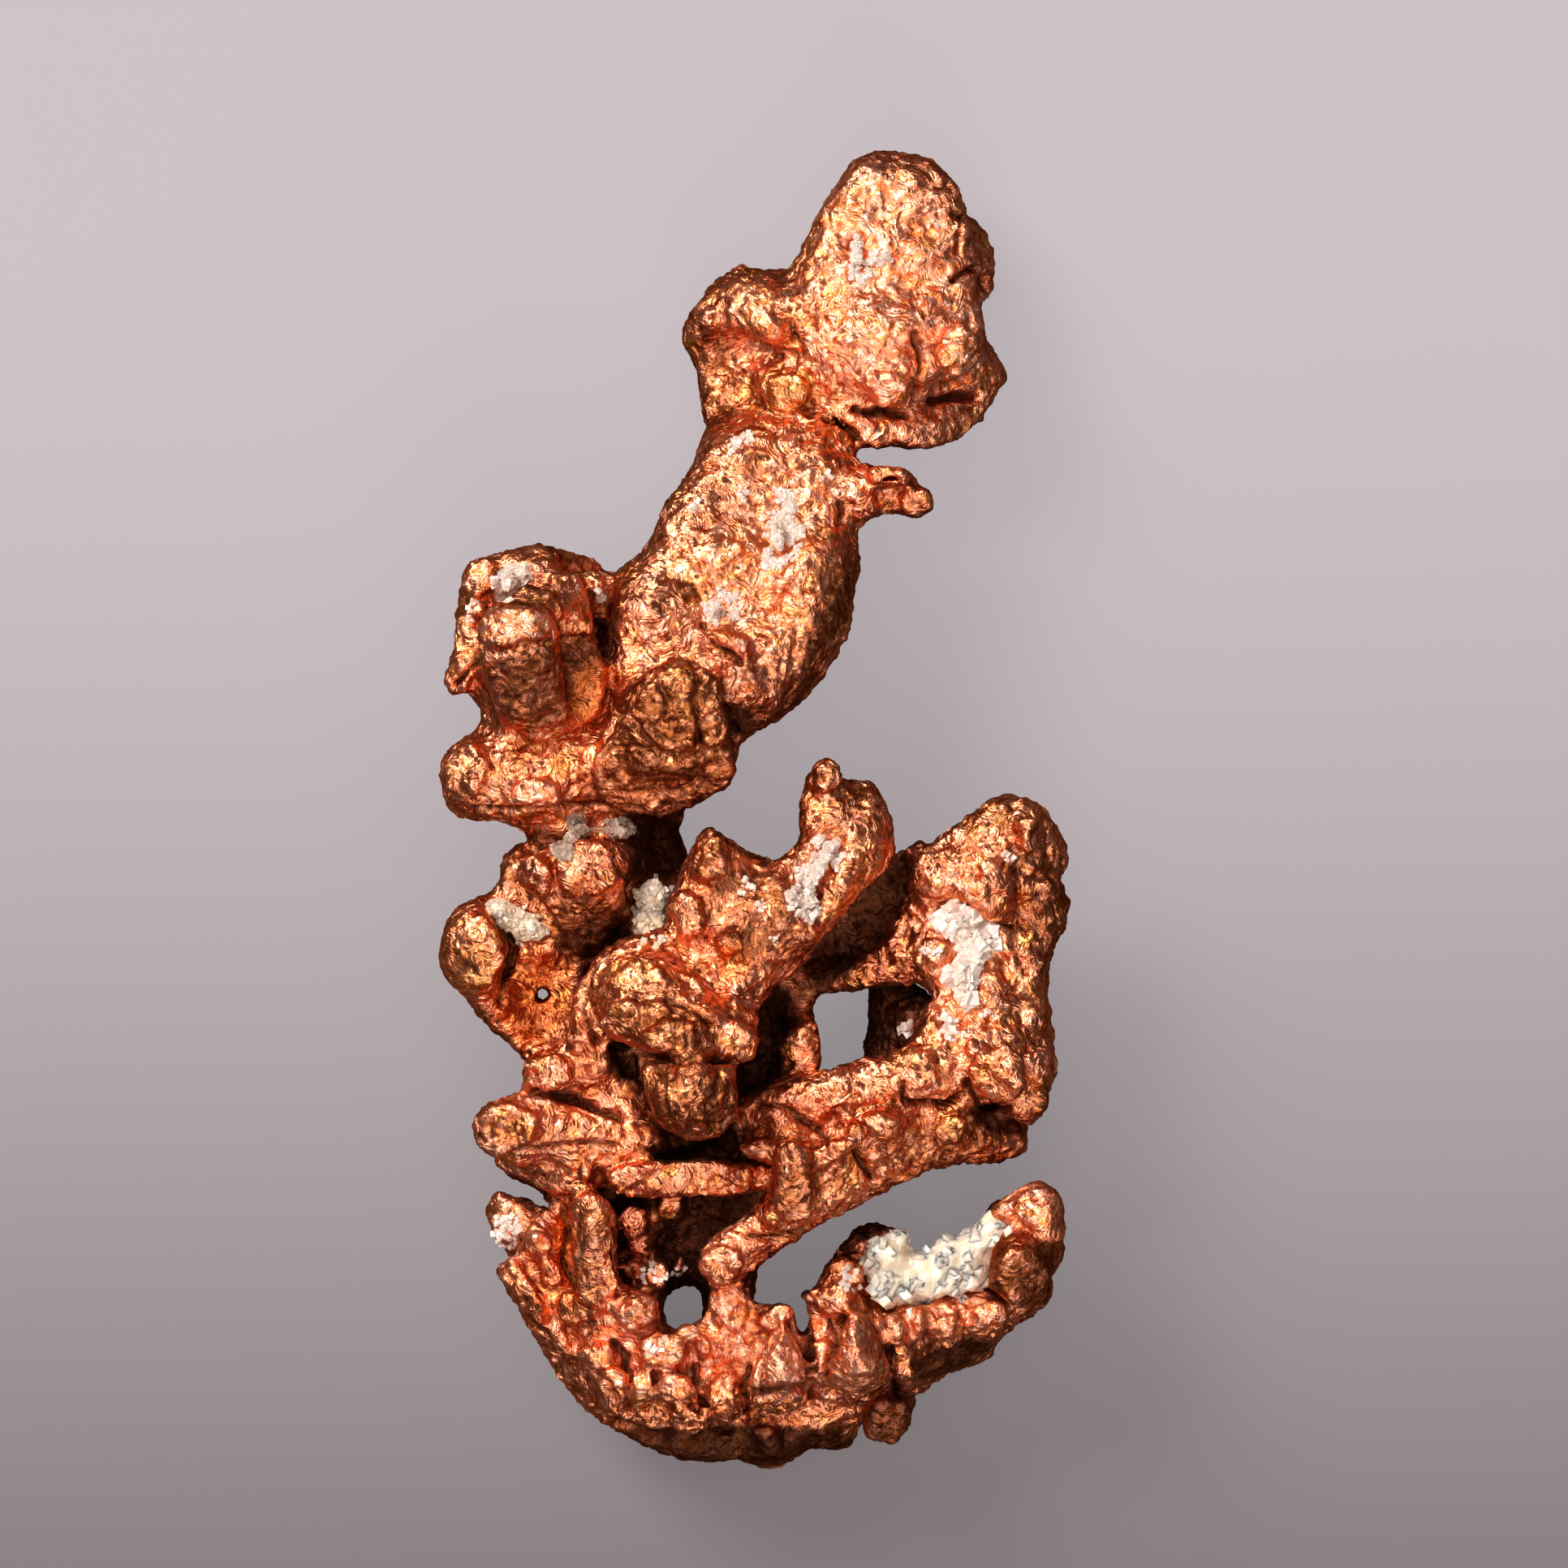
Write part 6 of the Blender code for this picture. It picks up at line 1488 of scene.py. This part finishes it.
def copper_material():
    """Bright crystalline copper with glittering faces and brown tarnish, with painted shade on flanks,
    undersides, creases and hollows, and a painted red glow in hollows.
    """
    nodes = Nodes(bpy.data.materials.new("copper"))
    place = nodes.add("TexCoord").outputs["Object"]
    # Paleness: partly fresh copper, partly painted light on faces that the lamps light most
    pale = nodes.attribute("pale")
    shade = nodes.attribute("shade")
    speckle = nodes.noise(place, SPECKLE_SIZE, 3.0)
    grain = nodes.add("SeparateXYZ", {0: nodes.cells(place, GRAIN_SIZE)})
    colour = crystalline_colour(nodes, place, nodes.attribute("gold"), pale, speckle, grain)
    # Brown tarnish, with painted shade on flanks and undersides
    brown_and_shade = nodes.times(nodes.attribute("tarnish_and_shade"), nodes.ramp(speckle, *BROWN_RAMP), clamp=True)
    brown_and_shade = nodes.times(brown_and_shade, nodes.line(nodes.ramp(grain.outputs["Z"], *WORN_RAMP), *WORN_LINE))
    colour = nodes.mixed(nodes.times(brown_and_shade, BROWN_STRENGTH), colour, COPPER_BROWN)
    # Orange copper, partly a painted glow of bounced light in recesses
    orange_and_glow = nodes.times(nodes.attribute("orange_and_glow"), ORANGE_STRENGTH, clamp=True)
    colour = nodes.mixed(orange_and_glow, colour, COPPER_ORANGE)
    crumple = nodes.add("TexNoise", {
        "Vector": place, "Scale": metres(CRUMPLE_SIZE), **CRUMPLE_SHAPE,
    }, noise_type="RIDGED_MULTIFRACTAL", normalize=False).outputs["Fac"]
    # Painted shade in hollows and furrows, turning to a painted red glow of bounced light on pale faces
    painted_furrow_shade = nodes.ramp(crumple, *FURROW_RAMP)
    hollow = nodes.math("MAXIMUM", nodes.ramp(nodes.attribute("edge"), *EDGE_RAMP), painted_furrow_shade)
    hollow = nodes.times(hollow, nodes.line(pale, *HOLLOW_LINE))
    colour = nodes.mixed(hollow, colour, nodes.mixed(pale, COPPER_HOLLOW_SHADE, COPPER_HOLLOW_REFLECTION))
    # Painted shade where little sky is seen, in creases, hollows and the shade zones
    colour = nodes.mixed(nodes.times(shade, PAINTED_SHADE_STRENGTH), colour, COPPER_PAINTED_SHADE)
    rough = nodes.ramp(nodes.noise(place, POLISH_SIZE, 3.0), *POLISH_RAMP, POLISHED, UNPOLISHED)
    for amount, more in ((brown_and_shade, BROWN_ROUGH), (shade, SHADE_ROUGH), (pale, PALE_ROUGH)):
        rough = nodes.math("ADD", rough, nodes.times(amount, more))
    return nodes.finished({
        "Base Color": colour, "Metallic": 1.0, "Roughness": rough, "Specular Tint": COPPER_RIM,
        "Normal": copper_normal(nodes, place, crumple),
    })


QUARTZ_DUST = rgb(0.34, 0.17, 0.10)
QUARTZ_ROUGHNESS = 0.26
QUARTZ_IOR = 1.54
# How far red, green and blue light spread beside each other, and how deep that is, mm
LIGHT_SPREAD = (1.0, 0.85, 0.7)
LIGHT_DEPTH = 0.5
# Sizes of the quartz's patterns, and how high its fine bumps are, mm
CLOUD_SIZE = 0.5
FILM_SIZE = 0.9
CHIP_SIZE = 0.12
CHIP_HEIGHT = 0.04
CHIP_STRENGTH = 0.4
# Between which values clouds, the film and the dust of the most tinted grains come in
CLOUD_RAMP = (0.4, 0.8)
FILM_RAMP = (0.56, 0.75)
DUSTY_RAMP = (1.2, 1.8)
# How much a grain's tint counts beside the clouds, how much both deepen it, and how thick the film is
TINT_STRENGTH = 0.6
DEEP_STRENGTH = 0.8
FILM_STRENGTH = 0.5
# Each finish: share of clear quartz, how much light spreads inside it, palest colour, deepest colour
# Their warm tints are partly painted reflection of the copper round the grains
QUARTZ_FINISHES = {
    "milk": (0.0, 0.35, rgb(0.90, 0.76, 0.66), rgb(0.72, 0.53, 0.42)),
    "cream": (0.0, 0.6, rgb(0.96, 0.76, 0.55), rgb(0.84, 0.60, 0.41)),
    "clear": (0.05, 0.9, rgb(0.95, 0.81, 0.63), rgb(0.88, 0.72, 0.54)),
    "dusky": (0.0, 0.35, rgb(0.60, 0.44, 0.34), rgb(0.26, 0.16, 0.12)),
}


def quartz_material(name, clear, glow, pale, deep):
    """Milky quartz grains: each its own tint between two, letting light in, under a patchy film of dust."""
    nodes = Nodes(bpy.data.materials.new(name))
    place = nodes.add("TexCoord").outputs["Object"]
    tint = nodes.attribute("tint")
    cloud = nodes.ramp(nodes.noise(place, CLOUD_SIZE, 4.0), *CLOUD_RAMP)
    mix = nodes.math("ADD", nodes.times(tint, TINT_STRENGTH), cloud)
    colour = nodes.mixed(nodes.times(mix, DEEP_STRENGTH, clamp=True), pale, deep)
    film = nodes.times(nodes.ramp(nodes.noise(place, FILM_SIZE, 5.0), *FILM_RAMP), FILM_STRENGTH)
    dust = nodes.math("MAXIMUM", film, nodes.ramp(tint, *DUSTY_RAMP))
    chips = nodes.noise(place, CHIP_SIZE, 3.0)
    bump = nodes.add("Bump", {"Height": chips, "Strength": CHIP_STRENGTH, "Distance": CHIP_HEIGHT * MM})
    return nodes.finished({
        "Base Color": nodes.mixed(dust, colour, QUARTZ_DUST), "Roughness": QUARTZ_ROUGHNESS,
        "IOR": QUARTZ_IOR, "Normal": bump.outputs["Normal"], "Transmission Weight": clear,
        "Subsurface Weight": glow, "Subsurface Radius": LIGHT_SPREAD, "Subsurface Scale": LIGHT_DEPTH * MM,
    })


# ---------------------------------------------------------------- surroundings

# Where the camera is, its lens and the width of its film, mm
CAMERA_PLACE = (0.961, 0.921, 600.0)
CAMERA_LENS = 400.8
CAMERA_FILM = 36.0
# The nearest and farthest that the camera sees, m
CAMERA_REACH = (0.01, 10.0)
# Each lamp: name, place (mm), width (mm), power (W) and colour
LAMPS = (
    ("key", (-280, 300, 400), 230, 3.5, (1.0, 0.95, 0.91)),
    ("front", (-60, 40, 520), 420, 1.1, (1.0, 0.96, 0.93)),
    ("fill", (60, -380, 380), 300, 1.15, (1.0, 0.95, 0.9)),
)
LAMP_TARGET = (0.0, 0.0, 5.0)
# The floor: its size and where it is dark and bright along y (m)
FLOOR_SIZE = 3.0
FLOOR_NEAR = -0.05
FLOOR_FAR = 0.02
FLOOR_PALE = rgb(0.09, 0.08, 0.084)
FLOOR_DIM = rgb(0.10, 0.08, 0.08)
FLOOR_GLOW_FAR = rgb(0.395, 0.36, 0.375)
FLOOR_GLOW_NEAR = rgb(0.01, 0.009, 0.009)
ROOM_LOW = 0.04
ROOM_HIGH = 0.34
ROOM_COLOUR = rgb(0.86, 0.83, 0.86)


def camera():
    """Looks straight down from far away."""
    data = bpy.data.cameras.new("camera")
    data.sensor_width = CAMERA_FILM
    data.lens = CAMERA_LENS
    data.clip_start, data.clip_end = CAMERA_REACH
    thing = placed("camera", data)
    thing.location = Vector(CAMERA_PLACE) * MM
    bpy.context.scene.camera = thing


def lamp(name, place, width, power, colour):
    """A square area lamp at a place in millimetres, aimed at the specimen."""
    data = bpy.data.lights.new(name, "AREA")
    data.shape = "SQUARE"
    data.size = width * MM
    data.energy = power
    data.color = colour
    thing = placed(name, data)
    thing.location = Vector(place) * MM
    thing.rotation_euler = (Vector(place) - Vector(LAMP_TARGET)).to_track_quat("Z", "Y").to_euler()


def floor():
    """A plain pale mauve-grey floor that glows a little, less towards the near side.

    The specimen sees it dimmer than the camera does, so that its hollows keep their depth.
    """
    half = FLOOR_SIZE / 2
    corners = [(-half, -half, 0), (half, -half, 0), (half, half, 0), (-half, half, 0)]
    thing = new_object("floor", corners, [(0, 1, 2, 3)])
    nodes = Nodes(bpy.data.materials.new("floor"))
    parts = nodes.add("SeparateXYZ", {0: nodes.add("TexCoord").outputs["Object"]})
    # Painted light and shade: the floor glows, and its glow is painted darker towards the near side
    far = nodes.ramp(parts.outputs["Y"], FLOOR_NEAR, FLOOR_FAR, interpolation_type="SMOOTHSTEP")
    glow = nodes.mixed(far, FLOOR_GLOW_NEAR, FLOOR_GLOW_FAR)
    glowing = nodes.add("Emission", {"Color": glow, "Strength": 1.0}).outputs[0]
    matt = nodes.add("BsdfDiffuse", {"Color": FLOOR_PALE}).outputs[0]
    pale = nodes.add("AddShader", {0: matt, 1: glowing}).outputs[0]
    dim = nodes.add("BsdfDiffuse", {"Color": FLOOR_DIM}).outputs[0]
    seen = nodes.add("LightPath").outputs["Is Camera Ray"]
    shader = nodes.add("MixShader", {0: seen, 1: dim, 2: pale})
    nodes.add("OutputMaterial", {"Surface": shader.outputs[0]})
    thing.data.materials.append(nodes.owner)


def room():
    """Dim surroundings: brighter overhead than at the horizon."""
    nodes = Nodes(bpy.data.worlds.new("room"))
    parts = nodes.add("SeparateXYZ", {0: nodes.add("TexCoord").outputs["Generated"]})
    level = nodes.ramp(parts.outputs["Z"], 0.0, 1.0, ROOM_LOW, ROOM_HIGH)
    background = nodes.add("Background", {"Color": ROOM_COLOUR, "Strength": level})
    nodes.add("OutputWorld", {"Surface": background.outputs[0]})
    bpy.context.scene.world = nodes.owner


def surroundings():
    """Camera, floor, lamps and the dim room."""
    camera()
    floor()
    room()
    for values in LAMPS:
        lamp(*values)
    view = bpy.context.scene.view_settings
    view.view_transform = "Standard"
    view.look = "Medium High Contrast"


# ---------------------------------------------------------------- the specimen

def specimen():
    """Every visible piece, riding on the one body."""
    body = copper_body()
    fine, broad, creased = dressed(body)
    colour_fields(body, fine, broad, creased, sky_seen(body))
    copper_tree = tree_of(body)
    metal = copper_material()
    for piece, name in zip(parted(body), BRANCHES):
        piece.data.materials.append(metal)
        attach(piece, "root")
        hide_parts(name)
    removed(body)
    finishes = {name: quartz_material("quartz_" + name, *values) for name, values in QUARTZ_FINISHES.items()}
    for name, growth, finish, grain, gaps, seed, *outlines in CRUSTS:
        piece = crust(copper_tree, name, growth, grain, gaps, seed, outlines)
        piece.data.materials.append(finishes[finish])
        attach(piece, "root")
        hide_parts(name)
    loose = specks(copper_tree)
    loose.data.materials.append(finishes["milk"])
    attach(loose, "root")


specimen()
surroundings()
